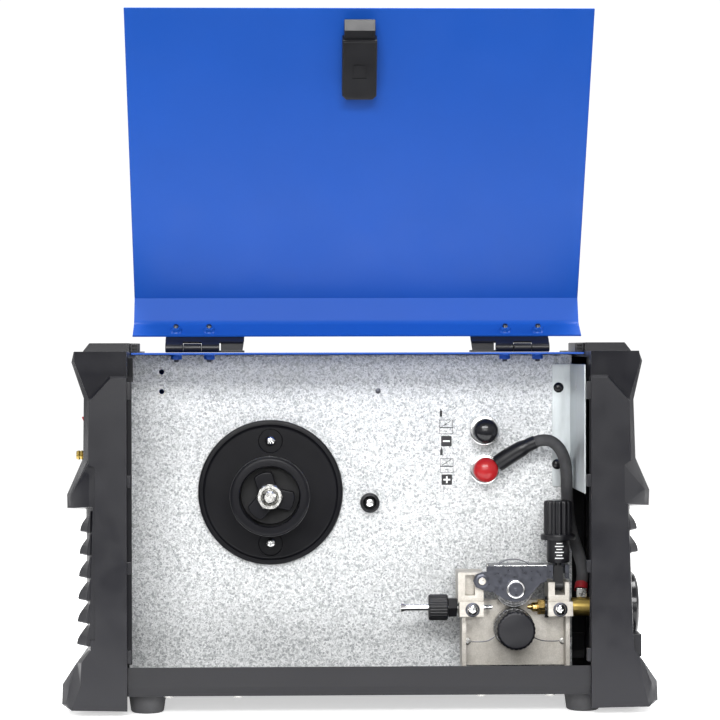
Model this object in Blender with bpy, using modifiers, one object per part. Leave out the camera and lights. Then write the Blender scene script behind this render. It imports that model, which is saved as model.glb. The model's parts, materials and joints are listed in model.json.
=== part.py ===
"""Compact MIG welder with its wire bay door swung up. Metres, +Z up, +X towards the torch end.

Y is written as a depth behind the near faces of the two end panels, where the wire bay opens.
The door is modelled shut and turned open about its hinge line.
"""

import math

import bmesh
import bpy
from mathutils import Quaternion, Vector

# Body
NEAR_Y = -0.08825  # near faces of the end panels, which centres the whole object on Y = 0
BODY_WIDTH = 0.2060
SHEET = 0.0012
GAP = 0.0003
BAY_HALF = 0.1670  # inner edges of the end panels
COVER_HALF = 0.1663  # half length of the door and of the cover
COVER_INSET = 0.0007
TOP_Z = 0.2609  # top of the painted sheets
SKIRT_Z = 0.0185  # lower edge of the cover
DOOR_SKIRT_Z = 0.0177
SHOULDER_RUN = 0.0160
SHOULDER_DROP = 0.0144
PANEL_WALL = 0.0040
PANEL_TOP = 0.2620
PANEL_FLOOR = 0.0031
FLARE_DEPTH = 0.0120  # how far in the end panel reaches its full outline
PAD_TOP = 0.2684
PANEL_SHELF = 0.1488
LOUVRE_PITCH = 0.0164
TRAY_BOTTOM = 0.0137
TRAY_HALF = 0.1860
RAIL_TOP = 0.0347
RAIL_CREASE = 0.0204
RAIL_DEPTH = 0.0045
FOOT_X = (-0.1540, 0.1635)
FOOT_DEPTH = 0.0265
WALL = 0.0980  # near face of the divider

# Door and hinges
HINGE_DEPTH = 0.0467
HINGE_Z = 0.2645
DOOR_OPEN = math.radians(152.2)
LEAF_REACH = 0.0220
LEAF_THICK = 0.0015
LEAF_DROP = 0.0018  # top of a leaf below the hinge line
KNUCKLE_R = 0.00325
BARREL_LENGTH = 0.0400
LEAF_LENGTH = 0.0580
HINGE_END_X = 0.1418

# Latch on the inside of the door
LATCH_HALF = 0.0123
LATCH_TOP = 0.0824
LATCH_FOOT = 0.0372
LATCH_BACK = 0.0132
BOLT_HALF = 0.0110
BOLT_TIP = 0.0240
BOLT_SLOPE_TOP = 0.0306
BOLT_END = 0.0580
BOLT_NEAR = 0.0064
BOLT_FAR = 0.0119
BOLT_STROKE = 0.0112

# Spool hub
HUB_X = -0.0650
HUB_Z = 0.1552
DISC_R = 0.0548
BARREL_R = 0.0250
RECESS_R = 0.0220
RING_R = 0.0295
STUD_R = 0.00465
NUT_FLATS = 0.0170
NUT_HEIGHT = 0.0080
NUT_DEPTH = 0.0360  # its middle
HUB_SCREW_OFFSET = 0.0389

# Wire feeder
WIRE_Z = 0.0710
WIRE_DEPTH = 0.0620
DRIVE_X = 0.1163
DRIVE_Z = 0.0557
DRIVE_R = 0.0150
PRESS_Z = 0.0860
PRESS_R = 0.0148
ROLL_FAR = 0.0670
ARM_PIVOT_X = 0.0915
ARM_PIVOT_Z = 0.0920
ARM_TOP = 0.1030
ARM_NEAR = 0.0455
TENSION_X = 0.1497
TENSION_PIVOT_Z = 0.0869
SLEEVE_FOOT = 0.1043
KNOB_FOOT = 0.1212
KNOB_TOP = 0.1505

# Polarity terminals
TERMINAL_X = 0.0972
TERMINAL_Z = {"negative": 0.2016, "positive": 0.1723}
TERMINAL_RING_R = 0.0113
TERMINAL_KNOB_R = 0.0095

# Front and rear fittings
FACE_X = 0.1997  # recessed upper face of an end panel
LOWER_FACE_X = 0.1972
CONTROL_FACE = 0.1942  # floor of the recess that holds the controls
SOCKET_Z = WIRE_Z
EARTH_DEPTH = 0.1500
CONTROL_Z = 0.2060
GAS_DEPTH = 0.1200
GAS_Z = 0.1827
GLAND_DEPTH = 0.1600
SWITCH_DEPTH = 0.0650
SWITCH_X = -0.1965
SWITCH_TILT = math.radians(7)
FAN_DEPTH = 0.1500
FAN_Z = 0.0780
FAN_HALF = 0.0460

COLOURS = {
    "blue_paint": ((0.045, 0.139, 0.570), 0.38, 0.0),
    "dark_plastic": ((0.045, 0.046, 0.055), 0.55, 0.0),
    "dark_steel": ((0.060, 0.061, 0.068), 0.45, 0.3),
    "galvanised": ((0.700, 0.720, 0.730), 0.38, 0.9),
    "black_plastic": ((0.022, 0.022, 0.026), 0.40, 0.0),
    "black_gloss": ((0.012, 0.012, 0.013), 0.15, 0.0),
    "red_plastic": ((0.300, 0.015, 0.015), 0.25, 0.0),
    "rubber": ((0.030, 0.030, 0.032), 0.85, 0.0),
    "zinc": ((0.700, 0.700, 0.690), 0.28, 1.0),
    "cast_alloy": ((0.440, 0.420, 0.370), 0.50, 0.8),
    "blued_steel": ((0.070, 0.072, 0.085), 0.35, 0.9),
    "brass": ((0.650, 0.460, 0.170), 0.28, 1.0),
    "circuit_green": ((0.020, 0.130, 0.050), 0.50, 0.0),
    "aluminium": ((0.600, 0.610, 0.620), 0.35, 1.0),
}

TO_VIEWER = (math.pi / 2, 0, 0)  # turns local +Z to face out of the wire bay
TO_FRONT = (0, math.pi / 2, 0)  # turns local +Z towards +X
TO_REAR = (0, -math.pi / 2, 0)
ACROSS = (math.pi / 2, 0, math.pi / 2)  # local X to depth, local Y to Z, local Z to X
UPRIGHT = (0, 0, 0)


# ---------------------------------------------------------------- scene and helpers


def clear_scene():
    for obj in list(bpy.data.objects):
        bpy.data.objects.remove(obj, do_unlink=True)


def new_collection(name):
    collection = bpy.data.collections.new(name)
    bpy.context.scene.collection.children.link(collection)
    return collection


clear_scene()
PARTS = new_collection("mig_welder")
CUTTERS = new_collection("cutters")
CUTTERS.hide_render = True


def material(slot):
    found = bpy.data.materials.get(slot)
    if found:
        return found
    colour, roughness, metallic = COLOURS[slot]
    made = bpy.data.materials.new(slot)
    made.use_nodes = True
    shader = made.node_tree.nodes["Principled BSDF"]
    shader.inputs["Base Color"].default_value = (*colour, 1)
    shader.inputs["Roughness"].default_value = roughness
    shader.inputs["Metallic"].default_value = metallic
    made.diffuse_color = (*colour, 1)
    return made


def at(x, depth, z):
    return Vector((x, NEAR_Y + depth, z))


def finish(name, mesh, slot, location=(0, 0, 0), rotation=UPRIGHT):
    """Makes the object. Without a material slot it is a cutter or a shape to join."""
    obj = bpy.data.objects.new(name, mesh)
    obj.location = location
    obj.rotation_euler = rotation
    if slot:
        PARTS.objects.link(obj)
        mesh.materials.append(material(slot))
    else:
        CUTTERS.objects.link(obj)
        obj.hide_render = True
        obj.display_type = "WIRE"
    return obj


def box(name, low, high, slot=None):
    """A block between two corners, each (x, depth, z)."""
    low = at(*low)
    high = at(*high)
    mesh = bpy.data.meshes.new(name)
    bm = bmesh.new()
    bmesh.ops.create_cube(bm, size=1)
    bmesh.ops.scale(bm, vec=high - low, verts=bm.verts)
    bm.to_mesh(mesh)
    bm.free()
    return finish(name, mesh, slot, (low + high) / 2)


def boxes(name, corners):
    """Several blocks in one cutter."""
    mesh = bpy.data.meshes.new(name)
    bm = bmesh.new()
    for low, high in corners:
        low = at(*low)
        high = at(*high)
        made = bmesh.ops.create_cube(bm, size=1)["verts"]
        bmesh.ops.scale(bm, vec=high - low, verts=made)
        bmesh.ops.translate(bm, vec=(low + high) / 2, verts=made)
    bm.to_mesh(mesh)
    bm.free()
    return finish(name, mesh, None)


def cylinder(name, radius, length, centre, rotation, slot=None, sides=24, end_radius=None):
    """A round bar on local Z, or a cone frustum when end_radius is given for its +Z end."""
    mesh = bpy.data.meshes.new(name)
    bm = bmesh.new()
    bmesh.ops.create_cone(
        bm,
        cap_ends=True,
        segments=sides,
        radius1=radius,
        radius2=radius if end_radius is None else end_radius,
        depth=length,
    )
    bm.to_mesh(mesh)
    bm.free()
    mesh.shade_smooth()
    mesh.set_sharp_from_angle(angle=math.radians(35))
    return finish(name, mesh, slot, centre, rotation)


def turned(name, profile, centre, rotation, slot=None, steps=28, ring=False):
    """A turned solid: (radius, height) points down the outer side, and back up inside for a ring."""
    mesh = bpy.data.meshes.new(name)
    bm = bmesh.new()
    points = [bm.verts.new((radius, 0, height)) for radius, height in profile]
    for first, second in zip(points, points[1:]):
        bm.edges.new((first, second))
    if ring:
        bm.edges.new((points[-1], points[0]))
    bm.to_mesh(mesh)
    bm.free()
    obj = finish(name, mesh, slot, centre, rotation)
    screw = obj.modifiers.new("turn", "SCREW")
    screw.steps = steps
    screw.render_steps = steps
    screw.use_merge_vertices = True
    screw.merge_threshold = 0.00001
    screw.use_smooth_shade = True
    return obj


def outline_curve(name, loops, thickness):
    curve = bpy.data.curves.new(name, "CURVE")
    curve.dimensions = "2D"
    curve.fill_mode = "BOTH"
    curve.extrude = thickness / 2
    for loop in loops:
        spline = curve.splines.new("POLY")
        spline.points.add(len(loop) - 1)
        for point, (u, v) in zip(spline.points, loop):
            point.co = (u, v, 0, 1)
        spline.use_cyclic_u = True
    return curve


def curve_to_mesh(name, curve, weld=0.00001):
    """The curve's solid as a mesh with its caps welded on."""
    holder = bpy.data.objects.new(name + "_curve", curve)
    CUTTERS.objects.link(holder)
    bpy.context.view_layer.update()
    graph = bpy.context.evaluated_depsgraph_get()
    mesh = bpy.data.meshes.new_from_object(holder.evaluated_get(graph))
    mesh.name = name
    bpy.data.objects.remove(holder, do_unlink=True)
    bm = bmesh.new()
    bm.from_mesh(mesh)
    bmesh.ops.remove_doubles(bm, verts=bm.verts, dist=weld)
    bmesh.ops.recalc_face_normals(bm, faces=bm.faces)
    bm.to_mesh(mesh)
    bm.free()
    return mesh


def plate(name, loops, thickness, centre, rotation, slot=None):
    """A flat outline with any holes in it, in local XY, given its thickness both ways along local Z."""
    mesh = curve_to_mesh(name, outline_curve(name, loops, thickness))
    return finish(name, mesh, slot, centre, rotation)


def xz_plate(name, loops, near, far, slot=None):
    """A plate facing out of the bay: its outline is in X and Z, its faces at two depths."""
    return plate(name, loops, far - near, at(0, (near + far) / 2, 0), TO_VIEWER, slot)


def circle(u, v, radius, sides=24):
    turns = (2 * math.pi * k / sides for k in range(sides))
    return [(u + radius * math.cos(t), v + radius * math.sin(t)) for t in turns]


def rounded(points, radii):
    """The polyline with each corner whose radius isn't zero turned into an arc of four chords."""
    result = []
    last = len(points) - 1
    for index, (point, radius) in enumerate(zip(points, radii)):
        here = Vector(point)
        if radius == 0 or index in (0, last):
            result.append(tuple(here))
            continue
        back = (Vector(points[index - 1]) - here).normalized()
        ahead = (Vector(points[index + 1]) - here).normalized()
        half = back.angle(ahead) / 2
        reach = radius / math.tan(half)
        centre = here + (back + ahead).normalized() * radius / math.sin(half)
        start = here + back * reach - centre
        end = here + ahead * reach - centre
        for step in range(5):
            arm = start.slerp(end, step / 4) if step not in (0, 4) else (start, end)[step // 4]
            result.append(tuple(centre + arm.normalized() * radius))
    return result


def sheet(name, section, half_length, slot, inward=1):
    """Bent sheet metal: the outer face's section in (depth, z), drawn out along X, thickened inwards."""
    mesh = bpy.data.meshes.new(name)
    bm = bmesh.new()
    points = [bm.verts.new((-half_length, depth, z)) for depth, z in section]
    edges = [bm.edges.new(pair) for pair in zip(points, points[1:])]
    drawn = bmesh.ops.extrude_edge_only(bm, edges=edges)["geom"]
    moved = [item for item in drawn if isinstance(item, bmesh.types.BMVert)]
    bmesh.ops.translate(bm, vec=(2 * half_length, 0, 0), verts=moved)
    bm.to_mesh(mesh)
    bm.free()
    obj = finish(name, mesh, slot, at(0, 0, 0))
    solid = obj.modifiers.new("thickness", "SOLIDIFY")
    solid.thickness = SHEET
    solid.offset = inward
    solid.use_even_offset = True
    return obj


def bevel(obj, width, segments=1, angle=30):
    edge = obj.modifiers.new("edges", "BEVEL")
    edge.width = width
    edge.segments = segments
    edge.limit_method = "ANGLE"
    edge.angle_limit = math.radians(angle)
    return obj


def boolean(target, operation, others):
    for other in others:
        step = target.modifiers.new(operation.lower(), "BOOLEAN")
        step.operation = operation
        step.solver = "EXACT"
        step.object = other
    return target


def cut(target, *others):
    return boolean(target, "DIFFERENCE", others)


def join(target, *others):
    return boolean(target, "UNION", others)


def helpers_of(obj):
    found = []
    for modifier in obj.modifiers:
        if modifier.type == "BOOLEAN":
            found.append(modifier.object)
            found += helpers_of(modifier.object)
    return found


def pivot(name, point, objects, parent=None):
    """Hangs the objects, with their cutters, on an empty at the joint's axis. They stay where they are."""
    axis = bpy.data.objects.new(name, None)
    axis.empty_display_size = 0.01
    PARTS.objects.link(axis)
    offset = parent.matrix_world.translation if parent else Vector((0, 0, 0))
    axis.location = Vector(point) - offset
    axis.parent = parent
    bpy.context.view_layer.update()
    family = []
    for obj in objects:
        family += [obj] + helpers_of(obj)
    for obj in family:
        obj.parent = axis
        obj.location = obj.location - Vector(point)
    return axis


# ---------------------------------------------------------------- casing

# Corners of an end panel: X out from the middle and Z, at full depth and then on its side faces.
PANEL_CORNERS = (
    ((BAY_HALF, PANEL_TOP), (BAY_HALF, PANEL_TOP)),
    ((0.2060, PANEL_TOP), (0.2045, PANEL_TOP)),
    ((0.2068, 0.2540), (0.2040, 0.2540)),
    ((0.1995, 0.2277), (0.1940, 0.2277)),
    ((FACE_X, 0.1842), (0.1938, 0.1805)),
    ((0.2108, 0.1582), (0.1898, 0.1790)),
    ((0.2104, PANEL_SHELF + 0.0004), (0.1898, 0.1510)),
    ((LOWER_FACE_X, PANEL_SHELF), (0.1898, 0.1495)),
    ((0.1965, 0.0450), (0.1898, 0.0480)),
    ((0.2050, 0.0390), (0.1990, 0.0390)),
    ((0.2154, 0.0234), (0.2005, 0.0234)),
    ((0.2158, 0.0082), (0.2035, 0.0082)),
    ((0.2100, PANEL_FLOOR), (0.2060, PANEL_FLOOR)),
    ((BAY_HALF, PANEL_FLOOR), (BAY_HALF, PANEL_FLOOR)),
)

# Hollow behind the side faces, and the wider hollow between them. Both are open to the bay.
NARROW_HOLLOW = (
    (0.1500, 0.2400),
    (0.1865, 0.2400),
    (0.1865, 0.0070),
    (0.1830, 0.0070),
    (0.1810, -0.0020),
    (0.1500, -0.0020),
)
WIDE_HOLLOW = (
    (0.1500, 0.2575),
    (0.2018, 0.2575),
    (0.2028, 0.2540),
    (0.1957, 0.2280),
    (0.1960, 0.1855),
    (0.2068, 0.1597),
    (0.2066, 0.1528),
    (0.1934, 0.1528),
    (0.1930, 0.0420),
    (0.2020, 0.0405),
    (0.2116, 0.0245),
    (0.2120, 0.0100),
    (0.2080, 0.0070),
    (0.1830, 0.0070),
    (0.1810, -0.0020),
    (0.1500, -0.0020),
)
# The same in the front panel, drawn back behind the recess for the controls.
FRONT_HOLLOW = WIDE_HOLLOW[:3] + (
    (0.1962, 0.2300),
    (0.1905, 0.2300),
    (0.1905, 0.1822),
    (0.1973, 0.1822),
) + WIDE_HOLLOW[5:]
SIDE_STEP = (  # shallow recess over the raised part of a side face
    (0.1600, 0.2443),
    (0.1797, 0.2443),
    (0.1938, 0.2277),
    (0.2200, 0.2277),
    (0.2200, 0.2750),
    (0.1600, 0.2750),
)
SIDE_STEP_DEPTH = 0.0025
TAB_HEIGHTS = ((0.2270, 0.2400), (0.1640, 0.1730), (0.1020, 0.1110), (0.0380, 0.0475))


def mirrored(points, side):
    return [(side * x, z) for x, z in points]


def panel_shell(name, side):
    """The outer skin of an end panel: a loft from its side face to its full outline and back."""
    mesh = bpy.data.meshes.new(name)
    bm = bmesh.new()
    sections = []
    for depth, kind in ((0, 1), (FLARE_DEPTH, 0), (BODY_WIDTH - FLARE_DEPTH, 0), (BODY_WIDTH, 1)):
        corners = [pair[kind] for pair in PANEL_CORNERS]
        sections.append([bm.verts.new((side * x, depth, z)) for x, z in corners])
    for near, far in zip(sections, sections[1:]):
        for k, corner in enumerate(near):
            after = (k + 1) % len(near)
            bm.faces.new((corner, near[after], far[after], far[k]))
    bm.faces.new(sections[0])
    bm.faces.new(sections[-1])
    bmesh.ops.triangulate(bm, faces=[face for face in bm.faces if len(face.verts) == 4])
    bmesh.ops.recalc_face_normals(bm, faces=bm.faces)
    bm.to_mesh(mesh)
    bm.free()
    return finish(name, mesh, "dark_plastic", at(0, 0, 0))


def louvre_strip(name, side, count):
    """Saw teeth one over another, as one outline drawn out along Y."""
    inner = LOWER_FACE_X - 0.0012
    points = [(inner, PANEL_SHELF - 0.0010)]
    for k in range(count):
        tip = PANEL_SHELF - 0.0170 - k * LOUVRE_PITCH
        out = 0.2020 + 0.0003 * k
        points += [(LOWER_FACE_X - 0.0004, tip + 0.0148), (out, tip + 0.0014), (out + 0.0003, tip)]
        points += [(LOWER_FACE_X - 0.0004, tip)]
    points[-1] = (inner, points[-1][1])
    width = BODY_WIDTH - 2 * 0.0110
    centre = at(0, BODY_WIDTH / 2, 0)
    return plate(name, [mirrored(points, side)], width, centre, TO_VIEWER)


def louvre_slots(name, side, count):
    near = 0.0260
    far = BODY_WIDTH - near
    corners = []
    for k in range(count):
        tip = PANEL_SHELF - 0.0170 - k * LOUVRE_PITCH
        ends = sorted((side * 0.1900, side * 0.1992))
        corners.append(((ends[0], near, tip - 0.0034), (ends[1], far, tip - 0.0002)))
    return boxes(name, corners)


def end_panel(name, side, louvres, hollow):
    """A moulded end panel with flared grips, a visor, louvres, a bumper foot and clip tabs."""
    panel = panel_shell(name, side)
    ends = sorted((side * 0.1605, side * 0.2030))
    pad = box(name + "_pad", (ends[0], 0.050, TOP_Z + GAP), (ends[1], BODY_WIDTH - 0.050, PAD_TOP))
    bevel(pad, 0.0030)
    join(panel, pad, louvre_strip(name + "_louvres", side, louvres))
    middle = (PANEL_WALL, BODY_WIDTH - PANEL_WALL)
    deep = (FLARE_DEPTH + 0.004, BODY_WIDTH - FLARE_DEPTH - 0.004)
    cut(
        panel,
        xz_plate(name + "_narrow", [mirrored(NARROW_HOLLOW, side)], *middle),
        xz_plate(name + "_wide", [mirrored(hollow, side)], *deep),
        xz_plate(name + "_step_near", [mirrored(SIDE_STEP, side)], -0.01, SIDE_STEP_DEPTH),
        xz_plate(
            name + "_step_far",
            [mirrored(SIDE_STEP, side)],
            BODY_WIDTH - SIDE_STEP_DEPTH,
            BODY_WIDTH + 0.01,
        ),
        louvre_slots(name + "_slots", side, louvres),
    )
    for number, (foot, top) in enumerate(TAB_HEIGHTS):
        ends = sorted((side * 0.1645, side * 0.1720))
        join(panel, box(f"{name}_tab_{number}", (ends[0], 0.0032, foot), (ends[1], 0.0065, top)))
    return panel


def front_panel():
    panel = end_panel("front_panel", 1, 2, FRONT_HOLLOW)
    join(panel, box("front_boss", (0.1955, 0.0150, 0.0395), (0.2054, 0.0340, 0.0560)))
    cut(
        panel,
        box("control_recess", (CONTROL_FACE, 0.0280, 0.1852), (0.2300, 0.1780, 0.2270)),
        cylinder("torch_hole", 0.0125, 0.030, at(0.196, WIRE_DEPTH, SOCKET_Z), TO_FRONT),
        cylinder("earth_hole", 0.0105, 0.030, at(0.196, EARTH_DEPTH, SOCKET_Z), TO_FRONT),
    )


def rear_panel():
    panel = end_panel("rear_panel", -1, 6, WIDE_HOLLOW)
    inner = box("rear_inner_wall", (-0.1695, 0.0035, 0.0360), (-0.1675, 0.0940, 0.2430))
    join(panel, inner)
    cut(
        panel,
        cylinder("gas_hole", 0.0048, 0.040, at(-0.198, GAS_DEPTH, GAS_Z), TO_FRONT),
        cylinder("gland_hole", 0.0085, 0.040, at(-0.198, GLAND_DEPTH, CONTROL_Z), TO_FRONT),
        box("switch_hole", (-0.210, 0.0520, 0.1930), (-0.190, 0.0780, 0.2190)),
    )


def base_tray():
    near = [
        (RAIL_DEPTH, RAIL_TOP),
        (RAIL_DEPTH, RAIL_CREASE),
        (RAIL_DEPTH + 0.0016, TRAY_BOTTOM),
    ]
    far = [(BODY_WIDTH - depth, z) for depth, z in reversed(near)]
    sheet("base_tray", near + far, TRAY_HALF, "dark_steel")


def divider_wall():
    """The galvanised wall between the wire bay and the electronics, with its folded flanges."""
    outline = [(-0.1720, 0.0158), (0.1641, 0.0158), (0.1641, 0.2565), (-0.1720, 0.2565)]
    holes = [
        circle(HUB_X, HUB_Z, 0.0054),
        circle(DRIVE_X, DRIVE_Z, 0.0080),
        circle(TERMINAL_X, TERMINAL_Z["negative"], 0.0054),
        circle(TERMINAL_X, TERMINAL_Z["positive"], 0.0054),
        circle(-0.1474, 0.2472, 0.0019, 12),
        circle(-0.1474, 0.2320, 0.0019, 12),
    ]
    wall = xz_plate("divider_wall", [outline] + holes, WALL, WALL + SHEET, "galvanised")
    join(
        wall,
        box("wall_side_flange", (0.1629, 0.0085, 0.1585), (0.1641, WALL + 0.0006, 0.2520)),
        box("wall_foot_flange", (-0.1600, WALL + 0.0006, 0.0158), (0.1550, WALL + 0.0140, 0.0170)),
        box("wall_top_flange", (-0.1560, WALL + 0.0006, 0.2553), (0.1560, WALL + 0.0120, 0.2565)),
    )


def cover_section():
    """The far side of the casing: top, shoulder and side, out to in."""
    side = BODY_WIDTH - COVER_INSET
    points = [
        (HINGE_DEPTH - 0.0100, TOP_Z),
        (side - SHOULDER_RUN, TOP_Z),
        (side, TOP_Z - SHOULDER_DROP),
        (side, SKIRT_Z),
    ]
    return rounded(points, (0, 0.0060, 0.0020, 0))


def top_cover():
    cover = sheet("top_cover", cover_section(), COVER_HALF, "blue_paint", inward=-1)
    slots = []
    for row in (0.0620, 0.0940):
        for k in range(8):
            x = -0.1400 + k * 0.0120
            slots.append(((x, BODY_WIDTH - 0.010, row), (x + 0.0035, BODY_WIDTH + 0.010, row + 0.022)))
    cut(cover, boxes("cover_slots", slots))


def door_section():
    points = [
        (HINGE_DEPTH - 0.0109, TOP_Z),
        (COVER_INSET + SHOULDER_RUN, TOP_Z),
        (COVER_INSET, TOP_Z - SHOULDER_DROP),
        (COVER_INSET, DOOR_SKIRT_Z),
    ]
    return rounded(points, (0, 0.0090, 0.0012, 0))


def hinge_leaf(name, x, barrel_x, towards, own):
    """One half of a butt hinge. Its knuckles are the thirds of the barrel listed in own."""
    near, far = sorted((HINGE_DEPTH + towards * 0.0036, HINGE_DEPTH + towards * LEAF_REACH))
    top = HINGE_Z - LEAF_DROP
    leaf = box(name, (x, near, top - LEAF_THICK), (x + LEAF_LENGTH, far, top), "black_plastic")
    third = BARREL_LENGTH / 3
    for k in own:
        left = barrel_x + k * third + GAP / 2
        right = left + third - GAP
        ends = sorted((HINGE_DEPTH, HINGE_DEPTH + towards * 0.0060))
        tongue = box(f"{name}_tongue_{k}", (left, ends[0], top - LEAF_THICK), (right, ends[1], top))
        centre = at((left + right) / 2, HINGE_DEPTH, HINGE_Z)
        knuckle = cylinder(f"{name}_knuckle_{k}", KNUCKLE_R, right - left, centre, TO_FRONT, sides=16)
        join(leaf, knuckle, tongue)
    return leaf


def latch():
    """The slam latch: a housing on the door and the spring bolt that hooks behind the tray's rail."""
    housing = box(
        "latch_housing",
        (-LATCH_HALF, COVER_INSET + SHEET + GAP, LATCH_FOOT),
        (LATCH_HALF, LATCH_BACK, LATCH_TOP),
        "black_plastic",
    )
    bevel(housing, 0.0014)
    pocket = box(
        "latch_pocket",
        (-BOLT_HALF - 0.0005, BOLT_NEAR - GAP, LATCH_FOOT - 0.010),
        (BOLT_HALF + 0.0005, BOLT_FAR + GAP, BOLT_END + BOLT_STROKE + 0.0008),
    )
    mark = box("latch_mark", (-0.0052, LATCH_BACK - 0.0006, 0.0552), (0.0052, LATCH_BACK + 0.01, 0.0661))
    cut(housing, pocket, mark)
    outline = [
        (NEAR_Y + BOLT_NEAR, BOLT_END),
        (NEAR_Y + BOLT_NEAR, BOLT_TIP),
        (NEAR_Y + BOLT_NEAR + 0.0012, BOLT_TIP),
        (NEAR_Y + BOLT_FAR, BOLT_SLOPE_TOP),
        (NEAR_Y + BOLT_FAR, BOLT_END),
    ]
    bolt = plate("latch_bolt", [outline], 2 * BOLT_HALF, (0, 0, 0), ACROSS, "black_plastic")
    return housing, bolt


def door():
    panel = sheet("door_panel", door_section(), COVER_HALF, "blue_paint", inward=1)
    rear_start = -HINGE_END_X
    front_start = HINGE_END_X - LEAF_LENGTH
    front_barrel = HINGE_END_X - BARREL_LENGTH
    hinge_leaf("hinge_rear_fixed", rear_start, rear_start, 1, (1,))
    hinge_leaf("hinge_front_fixed", front_start, front_barrel, 1, (1,))
    moving = [
        panel,
        hinge_leaf("hinge_rear_moving", rear_start, rear_start, -1, (0, 2)),
        hinge_leaf("hinge_front_moving", front_start, front_barrel, -1, (0, 2)),
        *latch(),
    ]
    axis = pivot("door_axis", at(0, HINGE_DEPTH, HINGE_Z), moving)
    axis.rotation_euler = (-DOOR_OPEN, 0, 0)


def feet():
    height = TRAY_BOTTOM - GAP
    number = 0
    for x in FOOT_X:
        for depth in (FOOT_DEPTH, BODY_WIDTH - FOOT_DEPTH):
            number += 1
            centre = at(x, depth, height / 2)
            foot = cylinder(f"foot_{number}", 0.0120, height, centre, UPRIGHT, "rubber", 20, 0.0136)
            hole = at(x, depth, 0.002)
            cut(foot, cylinder(f"foot_screw_{number}", 0.0045, 0.008, hole, UPRIGHT, sides=12))


# ---------------------------------------------------------------- spool hub


def hub():
    base_front = WALL - GAP
    base = turned(
        "hub_base",
        [
            (0.0160, 0.0120),
            (0.0160, 0.0048),
            (0.0532, 0.0048),
            (0.0532, 0.0056),
            (DISC_R, 0.0056),
            (DISC_R, 0.0000),
            (0.0066, 0.0000),
            (0.0066, 0.0120),
        ],
        at(HUB_X, base_front, HUB_Z),
        TO_VIEWER,
        "black_plastic",
        steps=36,
        ring=True,
    )
    for sign in (-1, 1):
        centre = at(HUB_X, base_front - 0.0060, HUB_Z + sign * HUB_SCREW_OFFSET)
        cut(base, cylinder(f"hub_dimple_{sign}", 0.0095, 0.0060, centre, TO_VIEWER, sides=20))
    turned(
        "hub_shaft",
        [
            (0.0000, 0.0770),
            (0.0038, 0.0770),
            (STUD_R, 0.0760),
            (STUD_R, 0.0052),
            (0.0092, 0.0052),
            (0.0092, 0.0000),
            (0.0000, 0.0000),
        ],
        at(HUB_X, 0.1048, HUB_Z),
        TO_VIEWER,
        "zinc",
        steps=24,
    )
    barrel_foot = WALL - GAP - 0.0056 - GAP
    barrel = turned(
        "hub_barrel",
        [
            (BARREL_R, 0.0497),
            (BARREL_R, 0.0000),
            (0.0170, 0.0000),
            (0.0170, 0.0074),
            (0.0054, 0.0074),
            (0.0054, 0.0284),
            (RECESS_R, 0.0284),
            (RECESS_R, 0.0497),
        ],
        at(HUB_X, barrel_foot, HUB_Z),
        TO_VIEWER,
        "black_plastic",
        steps=36,
        ring=True,
    )
    ring = turned(
        "hub_ring",
        [
            (0.0280, 0.0107),
            (RING_R, 0.0092),
            (RING_R, 0.0000),
            (BARREL_R + 0.0004, 0.0000),
            (BARREL_R + 0.0004, 0.0079),
            (RECESS_R, 0.0079),
            (RECESS_R, 0.0107),
        ],
        at(HUB_X, 0.0492, HUB_Z),
        TO_VIEWER,
        "black_plastic",
        steps=36,
        ring=True,
    )
    nut_r = NUT_FLATS / 2 / math.cos(math.pi / 6)
    loops = [circle(0, 0, nut_r, 6), circle(0, 0, STUD_R + 0.0002)]
    nut = plate("hub_nut", loops, NUT_HEIGHT, at(HUB_X, NUT_DEPTH, HUB_Z), TO_VIEWER, "zinc")
    wing()
    axis = pivot("hub_axis", at(HUB_X, barrel_foot, HUB_Z), [barrel])
    pivot("hub_ring_axis", at(HUB_X, 0.0492, HUB_Z), [ring], axis)
    pivot("hub_nut_axis", nut.location.copy(), [nut])


def wing():
    """The three-armed brake piece under the nut, with a hollow between each two arms."""
    half_arm = (
        (0.00, 0.0185),
        (0.20, 0.0184),
        (0.36, 0.0180),
        (0.42, 0.0172),
        (0.60, 0.0124),
        (0.82, 0.0097),
    )
    outline = []
    for arm in range(3):
        middle = math.radians(108 + 120 * arm)
        arm_points = [(middle - turn, radius) for turn, radius in reversed(half_arm[1:])]
        arm_points += [(middle + turn, radius) for turn, radius in half_arm]
        arm_points.append((middle + math.pi / 3, 0.0090))
        outline += [(radius * math.cos(turn), radius * math.sin(turn)) for turn, radius in arm_points]
    loops = [outline, circle(0, 0, STUD_R + 0.0003)]
    centre = at(HUB_X, 0.0443, HUB_Z)
    plate("hub_wing", loops, 0.0080, centre, TO_VIEWER, "black_plastic")


def wall_post():
    turned(
        "wall_post",
        [
            (0.0068, 0.0080),
            (0.0074, 0.0072),
            (0.0074, 0.0000),
            (0.0000, 0.0000),
            (0.0000, 0.0030),
            (0.0052, 0.0030),
            (0.0052, 0.0080),
        ],
        at(0.0102, WALL - GAP, 0.1470),
        TO_VIEWER,
        "black_plastic",
        steps=24,
        ring=True,
    )


# ---------------------------------------------------------------- wire feeder


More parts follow.
